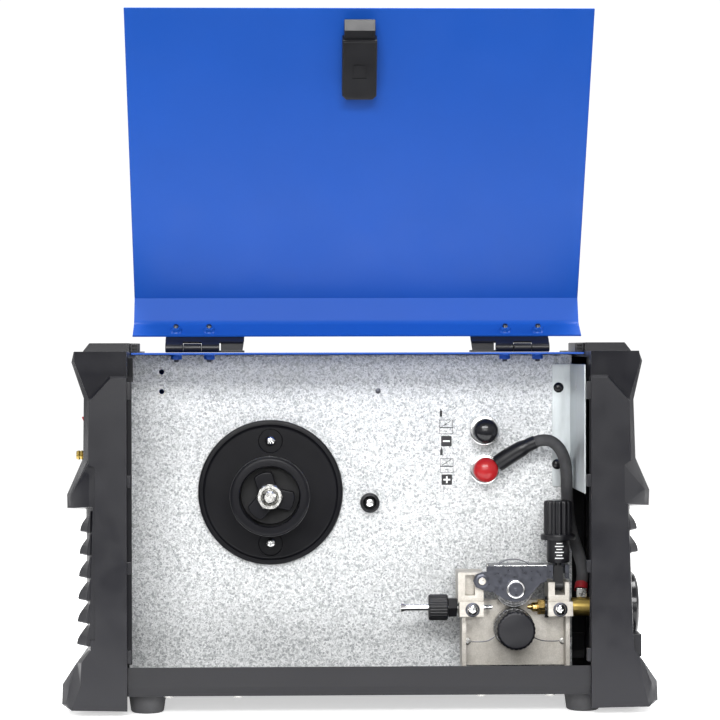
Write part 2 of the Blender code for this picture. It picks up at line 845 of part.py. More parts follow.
def feeder_plate():
    """The cast feeder body: back plate, clamp blocks, forks and the pin that the pressure arm turns on."""
    body = box("feeder_plate", (0.0776, 0.0720, 0.0265), (0.1579, 0.0840, 0.0750), "cast_alloy")
    join(
        body,
        box("feeder_boss", (0.0840, 0.0830, 0.0320), (0.1500, WALL - GAP, 0.0700)),
        box("inlet_block", (0.0749, 0.0460, 0.0656), (0.0929, 0.0800, 0.0765)),
        box("outlet_block", (0.1407, 0.0460, 0.0656), (0.1589, 0.0800, 0.0763)),
        box("inlet_post", (0.0741, 0.0500, 0.0755), (0.0930, 0.0790, 0.0980)),
        box("outlet_post", (0.1411, 0.0500, 0.0755), (0.1567, 0.0790, 0.0903)),
        box("inlet_rib", (0.0775, 0.0580, 0.0264), (0.0806, 0.0730, 0.0670)),
        box("outlet_rib", (0.1548, 0.0580, 0.0264), (0.1580, 0.0730, 0.0670)),
    )
    pin_centre = at(ARM_PIVOT_X, 0.0480, ARM_PIVOT_Z)
    join(body, cylinder("arm_pin", 0.0027, 0.0090, pin_centre, TO_VIEWER, sides=12))
    cut(
        body,
        box("inlet_slot", (0.0794, 0.0400, 0.0809), (0.0865, 0.0600, 0.0960)),
        box("outlet_slot", (0.1459, 0.0400, 0.0809), (0.1535, 0.0900, 0.1000)),
        cylinder("shaft_hole", 0.0065, 0.0400, at(DRIVE_X, 0.0850, DRIVE_Z), TO_VIEWER, sides=16),
        cylinder("inlet_bore", 0.0029, 0.0300, at(0.0839, WIRE_DEPTH, WIRE_Z), TO_FRONT, sides=12),
        cylinder("outlet_bore", 0.0060, 0.0300, at(0.1498, WIRE_DEPTH, WIRE_Z), TO_FRONT, sides=12),
    )


def wire_guides():
    turned(
        "inlet_tube",
        [
            (0.0016, 0.0680),
            (0.0016, 0.0640),
            (0.0025, 0.0600),
            (0.0025, 0.0030),
            (0.0037, 0.0000),
            (0.0020, 0.0000),
            (0.0010, 0.0030),
            (0.0010, 0.0680),
        ],
        at(0.0323, WIRE_DEPTH, WIRE_Z),
        TO_FRONT,
        "zinc",
        steps=14,
        ring=True,
    )
    turned(
        "inlet_collar",
        [
            (0.0083, 0.0210),
            (0.0083, 0.0145),
            (0.0090, 0.0143),
            (0.0097, 0.0136),
            (0.0097, 0.0007),
            (0.0090, 0.0000),
            (0.0028, 0.0000),
            (0.0028, 0.0210),
        ],
        at(0.0528, WIRE_DEPTH, WIRE_Z),
        TO_FRONT,
        "black_plastic",
        steps=20,
        ring=True,
    )
    turned(
        "outlet_guide",
        [
            (0.0055, 0.0322),
            (0.0055, 0.0045),
            (0.0022, 0.0040),
            (0.0017, 0.0000),
            (0.0008, 0.0000),
            (0.0008, 0.0322),
        ],
        at(0.1266, WIRE_DEPTH, WIRE_Z),
        TO_FRONT,
        "brass",
        steps=6,
        ring=True,
    )


def pressure_arm():
    outline = [
        (0.0950, ARM_TOP),
        (0.1395, ARM_TOP),
        (0.1395, 0.0912),
        (0.1352, 0.0903),
        (0.1290, 0.0832),
        (0.1235, 0.0781),
        (0.1163, 0.0763),
        (0.1090, 0.0781),
        (0.0990, 0.0838),
        (0.0915, 0.0855),
        (0.0868, 0.0875),
        (0.0850, 0.0920),
        (0.0868, 0.0966),
        (0.0915, 0.0985),
        (0.0950, 0.0988),
    ]
    loops = [
        outline,
        circle(DRIVE_X, PRESS_Z, 0.0043, 16),
        circle(ARM_PIVOT_X, ARM_PIVOT_Z, 0.0031, 12),
    ]
    arm = xz_plate("pressure_arm", loops, ARM_NEAR, ARM_NEAR + 0.0030, "blued_steel")
    join(
        arm,
        box("arm_flange", (0.0970, ARM_NEAR + 0.0020, 0.1008), (0.1394, 0.0744, ARM_TOP - 0.0001)),
        box("arm_end_flange", (0.1380, 0.0555, 0.1009), (0.1574, 0.0743, ARM_TOP - 0.0002)),
        box("arm_end_lip", (0.1379, 0.0556, 0.0925), (0.1573, 0.0580, ARM_TOP - 0.0003)),
        box("arm_back_lip", (0.1000, 0.0720, 0.0950), (0.1572, 0.0742, ARM_TOP - 0.0004)),
    )
    cut(arm, box("strap_notch", (0.1452, 0.0500, 0.0880), (0.1542, 0.0665, 0.1050)))
    axle = turned(
        "roller_axle",
        [
            (0.0000, 0.0282),
            (0.0060, 0.0282),
            (0.0069, 0.0272),
            (0.0069, 0.0250),
            (0.0040, 0.0250),
            (0.0040, 0.0000),
            (0.0000, 0.0000),
        ],
        at(DRIVE_X, 0.0700, PRESS_Z),
        TO_VIEWER,
        "zinc",
        steps=20,
    )
    roller = turned(
        "pressure_roller",
        [
            (PRESS_R, 0.0096),
            (PRESS_R, 0.0004),
            (PRESS_R - 0.0004, 0.0000),
            (0.0043, 0.0000),
            (0.0043, 0.0100),
            (PRESS_R - 0.0004, 0.0100),
        ],
        at(DRIVE_X, ROLL_FAR, PRESS_Z),
        TO_VIEWER,
        "zinc",
        steps=32,
        ring=True,
    )
    axis = pivot("arm_axis", at(ARM_PIVOT_X, ARM_NEAR, ARM_PIVOT_Z), [arm, axle])
    pivot("pressure_roller_axis", at(DRIVE_X, ROLL_FAR, PRESS_Z), [roller], axis)


def drive_roll():
    """The grooved roll on its shaft, and the knob that clamps it."""
    roll = turned(
        "drive_roll",
        [
            (0.0000, 0.0585),
            (0.0040, 0.0585),
            (0.0040, 0.0510),
            (DRIVE_R - 0.0004, 0.0510),
            (DRIVE_R, 0.0506),
            (DRIVE_R, 0.0414),
            (DRIVE_R - 0.0004, 0.0410),
            (0.0040, 0.0410),
            (0.0040, 0.0000),
            (0.0000, 0.0000),
        ],
        at(DRIVE_X, 0.1080, DRIVE_Z),
        TO_VIEWER,
        "zinc",
        steps=32,
    )
    knob_r = 0.0148
    outline = []
    for k in range(24):
        angle = 2 * math.pi * k / 24
        radius = knob_r if k % 2 else knob_r - 0.0006
        outline.append((radius * math.cos(angle), radius * math.sin(angle)))
    centre = at(DRIVE_X, 0.0473, DRIVE_Z)
    knob = plate("drive_knob", [outline], 0.0184, centre, TO_VIEWER, "black_plastic")
    hole = cylinder("knob_hole", 0.0043, 0.0090, at(DRIVE_X, 0.0532, DRIVE_Z), TO_VIEWER, sides=16)
    cut(knob, hole)
    pivot("drive_axis", at(DRIVE_X, ROLL_FAR, DRIVE_Z), [roll, knob])


def tension_unit():
    """The swing lever with its rod, the sprung sleeve on it and the ribbed knob that sets the force."""
    axis_point = at(TENSION_X, WIRE_DEPTH, TENSION_PIVOT_Z)
    strap = box("tension_lever", (0.1462, 0.0595, 0.0869), (0.1532, 0.0645, 0.1020), "black_plastic")
    join(
        strap,
        cylinder("strap_eye", 0.0035, 0.0068, axis_point, TO_FRONT, sides=16),
        cylinder("strap_rod", 0.0024, 0.0440, at(TENSION_X, WIRE_DEPTH, 0.1230), UPRIGHT, sides=12),
    )
    sleeve = turned(
        "tension_sleeve",
        [
            (0.0078, 0.0330),
            (0.0084, 0.0140),
            (0.0084, 0.0006),
            (0.0078, 0.0000),
            (0.0030, 0.0000),
            (0.0030, 0.0330),
        ],
        at(TENSION_X, WIRE_DEPTH, SLEEVE_FOOT),
        UPRIGHT,
        "black_plastic",
        steps=24,
        ring=True,
    )
    height = KNOB_TOP - KNOB_FOOT
    knob = turned(
        "tension_knob",
        [
            (0.0000, height),
            (0.0092, height),
            (0.0107, height - 0.0016),
            (0.0107, 0.0042),
            (0.0130, 0.0036),
            (0.0130, 0.0004),
            (0.0126, 0.0000),
            (0.0088, 0.0000),
            (0.0088, height - 0.0050),
            (0.0000, height - 0.0050),
        ],
        at(TENSION_X, WIRE_DEPTH, KNOB_FOOT),
        UPRIGHT,
        "black_plastic",
        steps=24,
        ring=True,
    )
    lever_axis = pivot("tension_axis", axis_point, [strap, sleeve])
    pivot("tension_knob_axis", at(TENSION_X, WIRE_DEPTH, KNOB_FOOT), [knob], lever_axis)


def feed_motor():
    motor = box(
        "feed_motor", (0.0910, WALL + SHEET + 0.0004, 0.0310), (0.1410, 0.1240, 0.0810), "dark_steel"
    )
    can = cylinder("motor_can", 0.0225, 0.0620, at(DRIVE_X, 0.1540, DRIVE_Z), TO_VIEWER, sides=28)
    join(motor, can)
    hole = cylinder("motor_hole", 0.0050, 0.0300, at(DRIVE_X, 0.0970, DRIVE_Z), TO_VIEWER, sides=16)
    cut(motor, hole)


# ---------------------------------------------------------------- terminals, sockets and lead


def terminals():
    for name, slot in (("negative", "black_gloss"), ("positive", "red_plastic")):
        z = TERMINAL_Z[name]
        turned(
            f"terminal_{name}",
            [
                (0.0000, 0.0365),
                (0.0040, 0.0365),
                (0.0040, 0.0222),
                (TERMINAL_RING_R, 0.0218),
                (TERMINAL_RING_R, 0.0143),
                (0.0047, 0.0143),
                (0.0047, 0.0000),
                (0.0000, 0.0000),
            ],
            at(TERMINAL_X, 0.1120, z),
            TO_VIEWER,
            "zinc",
            steps=24,
        )
        r = TERMINAL_KNOB_R
        knob = turned(
            f"terminal_{name}_knob",
            [
                (0.0000, 0.0152),
                (r * 0.45, 0.0148),
                (r * 0.78, 0.0134),
                (r * 0.96, 0.0108),
                (r, 0.0080),
                (r, 0.0000),
                (0.0043, 0.0000),
                (0.0043, 0.0124),
                (0.0000, 0.0124),
            ],
            at(TERMINAL_X, 0.0877, z),
            TO_VIEWER,
            slot,
            steps=24,
            ring=True,
        )
        pivot(f"terminal_{name}_axis", at(TERMINAL_X, 0.0877, z), [knob])


# Route of the polarity lead from the red terminal to the torch socket: x, depth, z.
LEAD_ROUTE = (
    (0.1071, 0.0820, 0.1775),
    (0.1147, 0.0806, 0.1826),
    (0.1248, 0.0784, 0.1888),
    (0.1333, 0.0766, 0.1930),
    (0.1400, 0.0756, 0.1948),
    (0.1466, 0.0752, 0.1936),
    (0.1526, 0.0750, 0.1880),
    (0.1562, 0.0752, 0.1796),
    (0.1576, 0.0756, 0.1690),
    (0.1579, 0.0764, 0.1584),
    (0.1586, 0.0785, 0.1480),
    (0.1600, 0.0812, 0.1360),
    (0.1628, 0.0825, 0.1230),
    (0.1664, 0.0812, 0.1115),
    (0.1690, 0.0775, 0.1015),
    (0.1692, 0.0730, 0.0935),
    (0.1680, 0.0690, 0.0875),
    (0.1670, 0.0660, 0.0830),
)
LEAD_R = 0.0045
LUG_SWELL = 1.40  # the insulated lug at the top against the cable's radius
LUG_POINTS = 5


def smooth_route(points, per_span):
    """Points along a curve through all the given ones, per_span to each stretch."""
    route = [Vector(p) for p in points]
    ends = [2 * route[0] - route[1]] + route + [2 * route[-1] - route[-2]]
    result = []
    for a, b, c, d in zip(ends, ends[1:], ends[2:], ends[3:]):
        for step in range(per_span):
            t = step / per_span
            bend = 2 * a - 5 * b + 4 * c - d
            curl = 3 * b - a - 3 * c + d
            result.append((2 * b + (c - a) * t + bend * t * t + curl * t**3) / 2)
    return result + [route[-1]]


def polarity_lead():
    curve = bpy.data.curves.new("polarity_lead", "CURVE")
    curve.dimensions = "3D"
    curve.bevel_depth = LEAD_R
    curve.bevel_resolution = 2
    curve.use_fill_caps = True
    spline = curve.splines.new("POLY")
    points = smooth_route([at(*p) for p in LEAD_ROUTE], 2)
    spline.points.add(len(points) - 1)
    for point, place in zip(spline.points, points):
        point.co = (*place, 1)
    for point in spline.points[:LUG_POINTS]:
        point.radius = LUG_SWELL
    mesh = curve_to_mesh("polarity_lead", curve)
    lead = finish("polarity_lead", mesh, "black_plastic", (0, 0, 0))
    join(lead, ring_tongue(), box("lead_foot", (0.1632, 0.0605, 0.0782), (0.1708, 0.0640, 0.0850)))


def ring_tongue():
    """The flat ring lug round the red post, with its tail under the crimped sleeve."""
    post = Vector((TERMINAL_X, TERMINAL_Z["positive"]))
    start = Vector((LEAD_ROUTE[0][0], LEAD_ROUTE[0][2]))
    along = (start - post).normalized()
    heading = math.atan2(along.y, along.x)
    radius = 0.0072
    outline = []
    for k in range(13):
        turn = heading + math.radians(50 + k * 260 / 12)
        outline.append((post.x + radius * math.cos(turn), post.y + radius * math.sin(turn)))
    across = Vector((-along.y, along.x)) * 0.0045
    tail = start + along * 0.0030
    outline += [tuple(tail - across), tuple(tail + across)]
    return xz_plate("ring_tongue", [outline, circle(*post, 0.0043, 16)], 0.0881, 0.0895)


def torch_socket():
    turned(
        "torch_block",
        [
            (0.0068, 0.0158),
            (0.0068, 0.0000),
            (0.0010, 0.0000),
            (0.0010, 0.0158),
        ],
        at(0.1593, WIRE_DEPTH, WIRE_Z),
        TO_FRONT,
        "brass",
        steps=20,
        ring=True,
    )
    core = turned(
        "torch_socket",
        [
            (0.0120, 0.0280),
            (0.0120, 0.0000),
            (0.0010, 0.0000),
            (0.0010, 0.0120),
            (0.0050, 0.0120),
            (0.0050, 0.0280),
        ],
        at(0.1755, WIRE_DEPTH, SOCKET_Z),
        TO_FRONT,
        "brass",
        steps=24,
        ring=True,
    )
    pin_holes = []
    for sign in (-1, 1):
        place = at(0.2010, WIRE_DEPTH + sign * 0.0085, SOCKET_Z)
        pin_holes.append(cylinder(f"pin_hole_{sign}", 0.0014, 0.010, place, TO_FRONT, sides=10))
    cut(core, *pin_holes)
    turned(
        "torch_collar",
        [
            (0.0225, 0.0096),
            (0.0257, 0.0082),
            (0.0257, 0.0000),
            (0.0124, 0.0000),
            (0.0124, 0.0030),
            (0.0190, 0.0030),
            (0.0190, 0.0096),
        ],
        at(LOWER_FACE_X + 0.0004, WIRE_DEPTH, SOCKET_Z),
        TO_FRONT,
        "black_gloss",
        steps=36,
        ring=True,
    )
    turned(
        "earth_socket",
        [
            (0.0130, 0.0230),
            (0.0155, 0.0220),
            (0.0155, 0.0160),
            (0.0100, 0.0158),
            (0.0100, 0.0000),
            (0.0000, 0.0000),
            (0.0000, 0.0060),
            (0.0062, 0.0060),
            (0.0062, 0.0230),
        ],
        at(LOWER_FACE_X - 0.0154, EARTH_DEPTH, SOCKET_Z),
        TO_FRONT,
        "black_gloss",
        steps=24,
        ring=True,
    )


# ---------------------------------------------------------------- controls and rear fittings


def controls():
    face = CONTROL_FACE + GAP
    plate_front = face + 0.0012
    control = box("control_plate", (face, 0.030, 0.1872), (plate_front, 0.176, 0.2250), "aluminium")
    bevel(control, 0.0003)
    button_place = at(plate_front + 0.0010, 0.1500, CONTROL_Z)
    hole = cylinder("button_hole", 0.0043, 0.0040, button_place, TO_FRONT, sides=16)
    cut(control, hole)
    for name, depth in (("wire_speed_knob", 0.0640), ("voltage_knob", 0.1080)):
        place = at(plate_front + GAP, depth, CONTROL_Z)
        knob = turned(
            name,
            [
                (0.0000, 0.0095),
                (0.0098, 0.0095),
                (0.0110, 0.0083),
                (0.0118, 0.0012),
                (0.0130, 0.0000),
                (0.0000, 0.0000),
            ],
            place,
            TO_FRONT,
            "black_plastic",
            steps=24,
        )
        grip_low = (plate_front + 0.0088, depth - 0.0008, CONTROL_Z + 0.0020)
        grip_high = (plate_front + 0.0120, depth + 0.0008, CONTROL_Z + 0.0120)
        cut(knob, box(name + "_pointer", grip_low, grip_high))
        pivot(name + "_axis", place, [knob])
    button = cylinder(
        "mode_button",
        0.0039,
        0.0027,
        at(plate_front + 0.0011, 0.1500, CONTROL_Z),
        TO_FRONT,
        "black_gloss",
        16,
    )
    pivot("mode_button_axis", at(plate_front, 0.1500, CONTROL_Z), [button])


def rear_fittings():
    turned(
        "gas_inlet",
        [
            (0.0030, 0.0280),
            (0.0037, 0.0264),
            (0.0031, 0.0246),
            (0.0037, 0.0230),
            (0.0031, 0.0214),
            (0.0052, 0.0210),
            (0.0052, 0.0186),
            (0.0044, 0.0184),
            (0.0044, 0.0000),
            (0.0018, 0.0000),
            (0.0018, 0.0280),
        ],
        at(-0.1848, GAS_DEPTH, GAS_Z),
        TO_REAR,
        "brass",
        steps=18,
        ring=True,
    )
    turned(
        "mains_gland",
        [
            (0.0085, 0.0186),
            (0.0104, 0.0176),
            (0.0104, 0.0152),
            (0.0080, 0.0150),
            (0.0080, 0.0000),
            (0.0055, 0.0000),
            (0.0055, 0.0186),
        ],
        at(-0.1848, GLAND_DEPTH, CONTROL_Z),
        TO_REAR,
        "black_plastic",
        steps=20,
        ring=True,
    )
    housing = box(
        "switch_housing",
        (-FACE_X - 0.0017, SWITCH_DEPTH - 0.0150, CONTROL_Z - 0.0150),
        (-FACE_X - GAP, SWITCH_DEPTH + 0.0150, CONTROL_Z + 0.0150),
        "black_plastic",
    )
    body = box(
        "switch_body",
        (-FACE_X - 0.0010, SWITCH_DEPTH - 0.0125, CONTROL_Z - 0.0125),
        (-0.1840, SWITCH_DEPTH + 0.0125, CONTROL_Z + 0.0125),
    )
    pocket = box(
        "switch_pocket",
        (-0.2200, SWITCH_DEPTH - 0.0100, CONTROL_Z - 0.0100),
        (-0.1900, SWITCH_DEPTH + 0.0100, CONTROL_Z + 0.0100),
    )
    cut(join(housing, body), pocket)
    rocker = box(
        "switch_rocker",
        (SWITCH_X - 0.0065, SWITCH_DEPTH - 0.0097, CONTROL_Z - 0.0086),
        (SWITCH_X + 0.0040, SWITCH_DEPTH + 0.0097, CONTROL_Z + 0.0086),
        "red_plastic",
    )
    dish = at(SWITCH_X - 0.0285, SWITCH_DEPTH, CONTROL_Z)
    cut(rocker, cylinder("rocker_dish", 0.0235, 0.0300, dish, TO_VIEWER, sides=48))
    axis = pivot("switch_axis", at(SWITCH_X, SWITCH_DEPTH, CONTROL_Z), [rocker])
    axis.rotation_euler = (0, -SWITCH_TILT, 0)


# ---------------------------------------------------------------- inside the electronics side


def fan():
    rear = -0.1850
    depth = 0.0250
    centre = at(rear + depth / 2, FAN_DEPTH, FAN_Z)
    h = FAN_HALF
    square = [(-h, -h), (h, -h), (h, h), (-h, h)]
    frame = plate("fan_frame", [square, circle(0, 0, 0.0440, 32)], depth, centre, TO_FRONT, "black_plastic")
    spider = cylinder("fan_spider", 0.0170, 0.0028, at(rear + 0.0016, FAN_DEPTH, FAN_Z), TO_FRONT, sides=20)
    join(frame, spider)
    for k in range(3):
        arm = box(
            f"fan_arm_{k}",
            (rear + 0.0003, FAN_DEPTH - 0.0025, FAN_Z + 0.0120),
            (rear + 0.0027, FAN_DEPTH + 0.0025, FAN_Z + 0.0450),
        )
        swing_about_x(arm, at(0, FAN_DEPTH, FAN_Z), math.radians(60 + 120 * k))
        join(frame, arm)
    hub_centre = at(rear + 0.0138, FAN_DEPTH, FAN_Z)
    rotor = cylinder("fan_rotor", 0.0165, 0.0190, hub_centre, TO_FRONT, "black_plastic", 24)
    for k in range(7):
        blade = box(
            f"fan_blade_{k}",
            (-0.0110, FAN_DEPTH - 0.0007, FAN_Z + 0.0150),
            (0.0110, FAN_DEPTH + 0.0007, FAN_Z + 0.0410),
        )
        blade.location.x = hub_centre.x
        pitch_and_swing(blade, at(hub_centre.x, FAN_DEPTH, FAN_Z), math.radians(52), 2 * math.pi * k / 7)
        join(rotor, blade)
    pivot("fan_axis", hub_centre, [rotor])


def swing_about_x(obj, centre, angle):
    """Turns an object round a line along X through centre."""
    arm = obj.location - centre
    turned_y = arm.y * math.cos(angle) - arm.z * math.sin(angle)
    turned_z = arm.y * math.sin(angle) + arm.z * math.cos(angle)
    obj.location = (obj.location.x, centre.y + turned_y, centre.z + turned_z)
    obj.rotation_euler = (angle, 0, 0)


def pitch_and_swing(obj, centre, pitch, angle):
    """Pitches a blade about its own radius, then swings it round the hub."""
    swing_about_x(obj, centre, angle)
    radial = Vector((0, -math.sin(angle), math.cos(angle)))
    obj.rotation_mode = "QUATERNION"
    obj.rotation_quaternion = Quaternion(radial, pitch) @ Quaternion((1, 0, 0), angle)


def electronics():
    fins = [(0.1080, 0.0250), (0.1960, 0.0250)]
    pitch = 0.0088
    for k in range(10):
        right = 0.1960 - k * pitch
        left = right - 0.0030
        fins += [(right, 0.0720), (left, 0.0720)]
        if k < 9:
            fins += [(left, 0.0320), (right - pitch, 0.0320)]
    fins = [(NEAR_Y + depth, z) for depth, z in fins]
    plate("heat_sink", [fins], 0.1100, (-0.0950, 0, 0), ACROSS, "aluminium")
    core = box("transformer", (-0.0200, 0.1150, 0.0250), (0.0600, 0.1850, 0.0850), "dark_steel")
    coil = box("transformer_coil", (-0.0080, 0.1060, 0.0330), (0.0480, 0.1940, 0.0770))
    join(core, bevel(coil, 0.0100, 3))
    board = box("circuit_board", (-0.1500, 0.1060, 0.1200), (0.0800, 0.1960, 0.1216), "circuit_green")
    for k in range(3):
        place = at(-0.1250 + 0.0300 * k, 0.1250, 0.1400)
        join(board, cylinder(f"capacitor_{k}", 0.0110, 0.0400, place, UPRIGHT, sides=16))
    join(board, box("power_module", (-0.0300, 0.1300, 0.1210), (0.0300, 0.1800, 0.1330)))
    join(board, box("choke", (0.0420, 0.1250, 0.1210), (0.0700, 0.1600, 0.1480)))
    valve = box("gas_valve", (-0.1720, 0.1090, 0.1760), (-0.1480, 0.1310, 0.1980), "brass")
    coil_centre = at(-0.1600, GAS_DEPTH, 0.2080)
    join(valve, cylinder("valve_coil", 0.0100, 0.0240, coil_centre, UPRIGHT, sides=20))


def build():
    front_panel()
    rear_panel()
    base_tray()
    divider_wall()
    top_cover()
    door()
    feet()
    hub()
    wall_post()
    feeder_plate()
    wire_guides()
    pressure_arm()
    drive_roll()
    tension_unit()
    feed_motor()
    terminals()
    polarity_lead()
    torch_socket()
    controls()
    rear_fittings()
    fan()
    electronics()


build()
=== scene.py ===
"""The looks of a compact MIG welder with its wire bay open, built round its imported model.

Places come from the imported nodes' boxes. A depth is counted from the near faces of the end panels.
Every piece is made in place, in metres, with its object at the origin, and rides on its body.
"""

import json
import math

import bmesh
import bpy
from mathutils import Matrix, Vector


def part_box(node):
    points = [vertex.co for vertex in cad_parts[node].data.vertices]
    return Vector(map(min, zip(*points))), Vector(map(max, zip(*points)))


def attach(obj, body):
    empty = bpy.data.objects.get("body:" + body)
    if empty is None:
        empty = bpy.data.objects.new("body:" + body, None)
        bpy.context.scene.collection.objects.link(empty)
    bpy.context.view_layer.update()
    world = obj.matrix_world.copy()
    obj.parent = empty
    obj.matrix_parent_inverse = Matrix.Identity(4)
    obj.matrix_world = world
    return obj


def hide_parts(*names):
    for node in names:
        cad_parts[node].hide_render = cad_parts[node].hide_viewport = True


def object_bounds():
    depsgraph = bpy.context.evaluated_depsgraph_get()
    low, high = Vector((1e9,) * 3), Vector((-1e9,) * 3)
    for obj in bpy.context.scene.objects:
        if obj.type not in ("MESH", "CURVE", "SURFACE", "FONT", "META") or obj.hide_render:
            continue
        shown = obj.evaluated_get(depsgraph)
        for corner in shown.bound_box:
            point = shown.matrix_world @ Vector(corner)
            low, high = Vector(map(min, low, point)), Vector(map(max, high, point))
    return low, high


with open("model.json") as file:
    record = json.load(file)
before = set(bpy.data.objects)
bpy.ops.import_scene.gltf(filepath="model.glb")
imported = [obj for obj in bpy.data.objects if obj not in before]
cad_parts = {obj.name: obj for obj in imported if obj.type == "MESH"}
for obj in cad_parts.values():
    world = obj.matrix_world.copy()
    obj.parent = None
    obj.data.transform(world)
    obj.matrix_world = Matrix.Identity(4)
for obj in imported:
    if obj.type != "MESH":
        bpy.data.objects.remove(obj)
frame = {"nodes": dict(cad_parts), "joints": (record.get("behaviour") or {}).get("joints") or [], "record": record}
cad_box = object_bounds()

X = Vector((1, 0, 0))
Y = Vector((0, 1, 0))
Z = Vector((0, 0, 1))
TURN = 2 * math.pi
NODES = frame["nodes"]
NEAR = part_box("rear_panel")[0].y
PANEL_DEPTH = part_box("rear_panel")[1].y - NEAR
SHEET = 0.0012
SLOT_OF = {entry["node"]: entry["material_slot"] for entry in frame["record"]["subparts"]}


def at(x, depth, z):
    return Vector((x, NEAR + depth, z))


def centre(node):
    low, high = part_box(node)
    return (low + high) / 2


def joint(name):
    return next(entry for entry in frame["joints"] if entry["name"] == name)


# ---------------------------------------------------------------- shapes


def facing(axis, foot=(0, 0, 0)):
    """Stands local +Z along an axis at foot, with local +Y as near to up as it can be."""
    axis = Vector(axis)
    up = Z if abs(axis.z) < 0.9 else Y
    side = up.cross(axis).normalized()
    return Matrix.Translation(foot) @ Matrix((side, axis.cross(side), axis)).transposed().to_4x4()


def soften(points, radius, closed=True, steps=3):
    """Rounds an outline's corners, less where a side is short. A point's third value sets its radius."""
    result = []
    count = len(points)
    for k, point in enumerate(points):
        corner = Vector(point[:2])
        wanted = point[2] if len(point) > 2 else radius
        if wanted == 0 or (not closed and k in (0, count - 1)):
            result.append(tuple(corner))
            continue
        before = Vector(points[k - 1][:2]) - corner
        after = Vector(points[(k + 1) % count][:2]) - corner
        half = before.angle(after) / 2
        reach = min(wanted / math.tan(half), 0.45 * before.length, 0.45 * after.length)
        start = corner + before.normalized() * reach
        end = corner + after.normalized() * reach
        for step in range(steps + 1):
            t = step / steps
            result.append(tuple(start * (1 - t) ** 2 + corner * 2 * t * (1 - t) + end * t * t))
    return result


def circle(u, v, radius, sides=32):
    turns = (TURN * k / sides for k in range(sides))
    return [(u + radius * math.cos(t), v + radius * math.sin(t)) for t in turns]


def rectangle(u0, v0, u1, v1):
    return [(u0, v0), (u1, v0), (u1, v1), (u0, v1)]


def placed(bm, matrix):
    bmesh.ops.transform(bm, matrix=matrix, verts=bm.verts)
    return bm


def lathe(profile, place, steps=64, closed=False, lobes=None):
    """A turned shape from (radius, height) points. lobes(turn, height) scales the radius."""
    bm = bmesh.new()
    rings = []
    for radius, height in profile:
        if radius < 1e-6:
            rings.append([bm.verts.new((0, 0, height))] * steps)
            continue
        ring = []
        for k in range(steps):
            turn = TURN * k / steps
            r = radius * (lobes(turn, height) if lobes else 1)
            ring.append(bm.verts.new((r * math.cos(turn), r * math.sin(turn), height)))
        rings.append(ring)
    pairs = list(zip(rings, rings[1:]))
    if closed:
        pairs.append((rings[-1], rings[0]))
    for upper, lower in pairs:
        for k in range(steps):
            n = (k + 1) % steps
            corners = list(dict.fromkeys((upper[k], upper[n], lower[n], lower[k])))
            if len(corners) > 2:
                bm.faces.new(corners)
    bmesh.ops.recalc_face_normals(bm, faces=bm.faces)
    return placed(bm, place)


def mesh_of(data):
    """The evaluated mesh of a curve, as a bmesh with its caps welded on."""
    holder = bpy.data.objects.new("holder", data)
    bpy.context.scene.collection.objects.link(holder)
    bpy.context.view_layer.update()
    mesh = bpy.data.meshes.new_from_object(
        holder.evaluated_get(bpy.context.evaluated_depsgraph_get())
    )
    bpy.data.objects.remove(holder, do_unlink=True)
    bm = bmesh.new()
    bm.from_mesh(mesh)
    bpy.data.meshes.remove(mesh)
    bmesh.ops.remove_doubles(bm, verts=bm.verts, dist=0.000002)
    bmesh.ops.recalc_face_normals(bm, faces=bm.faces)
    return bm


def flat(loops, thickness, place, edge=0.0003, rounds=1):
    """A plate with its outline and holes in local XY, its middle plane at local Z = 0, and rounded rims."""
    curve = bpy.data.curves.new("outline", "CURVE")
    curve.dimensions = "2D"
    curve.fill_mode = "BOTH"
    curve.extrude = thickness / 2 - edge
    curve.bevel_depth = edge
    curve.bevel_resolution = rounds
    curve.offset = -edge
    for loop in loops:
        spline = curve.splines.new("POLY")
        spline.points.add(len(loop) - 1)
        for point, (u, v) in zip(spline.points, loop):
            point.co = (u, v, 0, 1)
        spline.use_cyclic_u = True
    return placed(mesh_of(curve), place)


def block(low, high, edge=0.0005, rounds=2):
    bm = bmesh.new()
    bmesh.ops.create_cube(bm, size=1)
    bmesh.ops.scale(bm, vec=Vector(high) - Vector(low), verts=bm.verts)
    bmesh.ops.translate(bm, vec=(Vector(low) + Vector(high)) / 2, verts=bm.verts)
    if edge:
        bmesh.ops.bevel(
            bm, geom=bm.edges[:], offset=edge, segments=rounds, profile=0.5, affect="EDGES"
        )
    return bm


def slab(x0, d0, z0, x1, d1, z1, edge=0.0005, rounds=2):
    """A block by its x, depth and z limits."""
    return block(at(x0, d0, z0), at(x1, d1, z1), edge, rounds)


def smooth_path(points, per_span):
    """A smooth curve through all the points."""
    path = [Vector(p) for p in points]
    ends = [2 * path[0] - path[1]] + path + [2 * path[-1] - path[-2]]
    result = []
    for a, b, c, d in zip(ends, ends[1:], ends[2:], ends[3:]):
        for step in range(per_span):
            t = step / per_span
            bend = 2 * a - 5 * b + 4 * c - d
            curl = 3 * b - a - 3 * c + d
            result.append((2 * b + (c - a) * t + bend * t * t + curl * t**3) / 2)
    return result + [path[-1]]


def tube(points, radius, rounds=4, swell=None):
    """A round tube along points. swell(share of its length) scales its radius."""
    curve = bpy.data.curves.new("path", "CURVE")
    curve.dimensions = "3D"
    curve.bevel_depth = radius
    curve.bevel_resolution = rounds
    curve.use_fill_caps = True
    spline = curve.splines.new("POLY")
    spline.points.add(len(points) - 1)
    for k, (point, place) in enumerate(zip(spline.points, points)):
        point.co = (*place, 1)
        point.radius = swell(k / (len(points) - 1)) if swell else 1
    return mesh_of(curve)


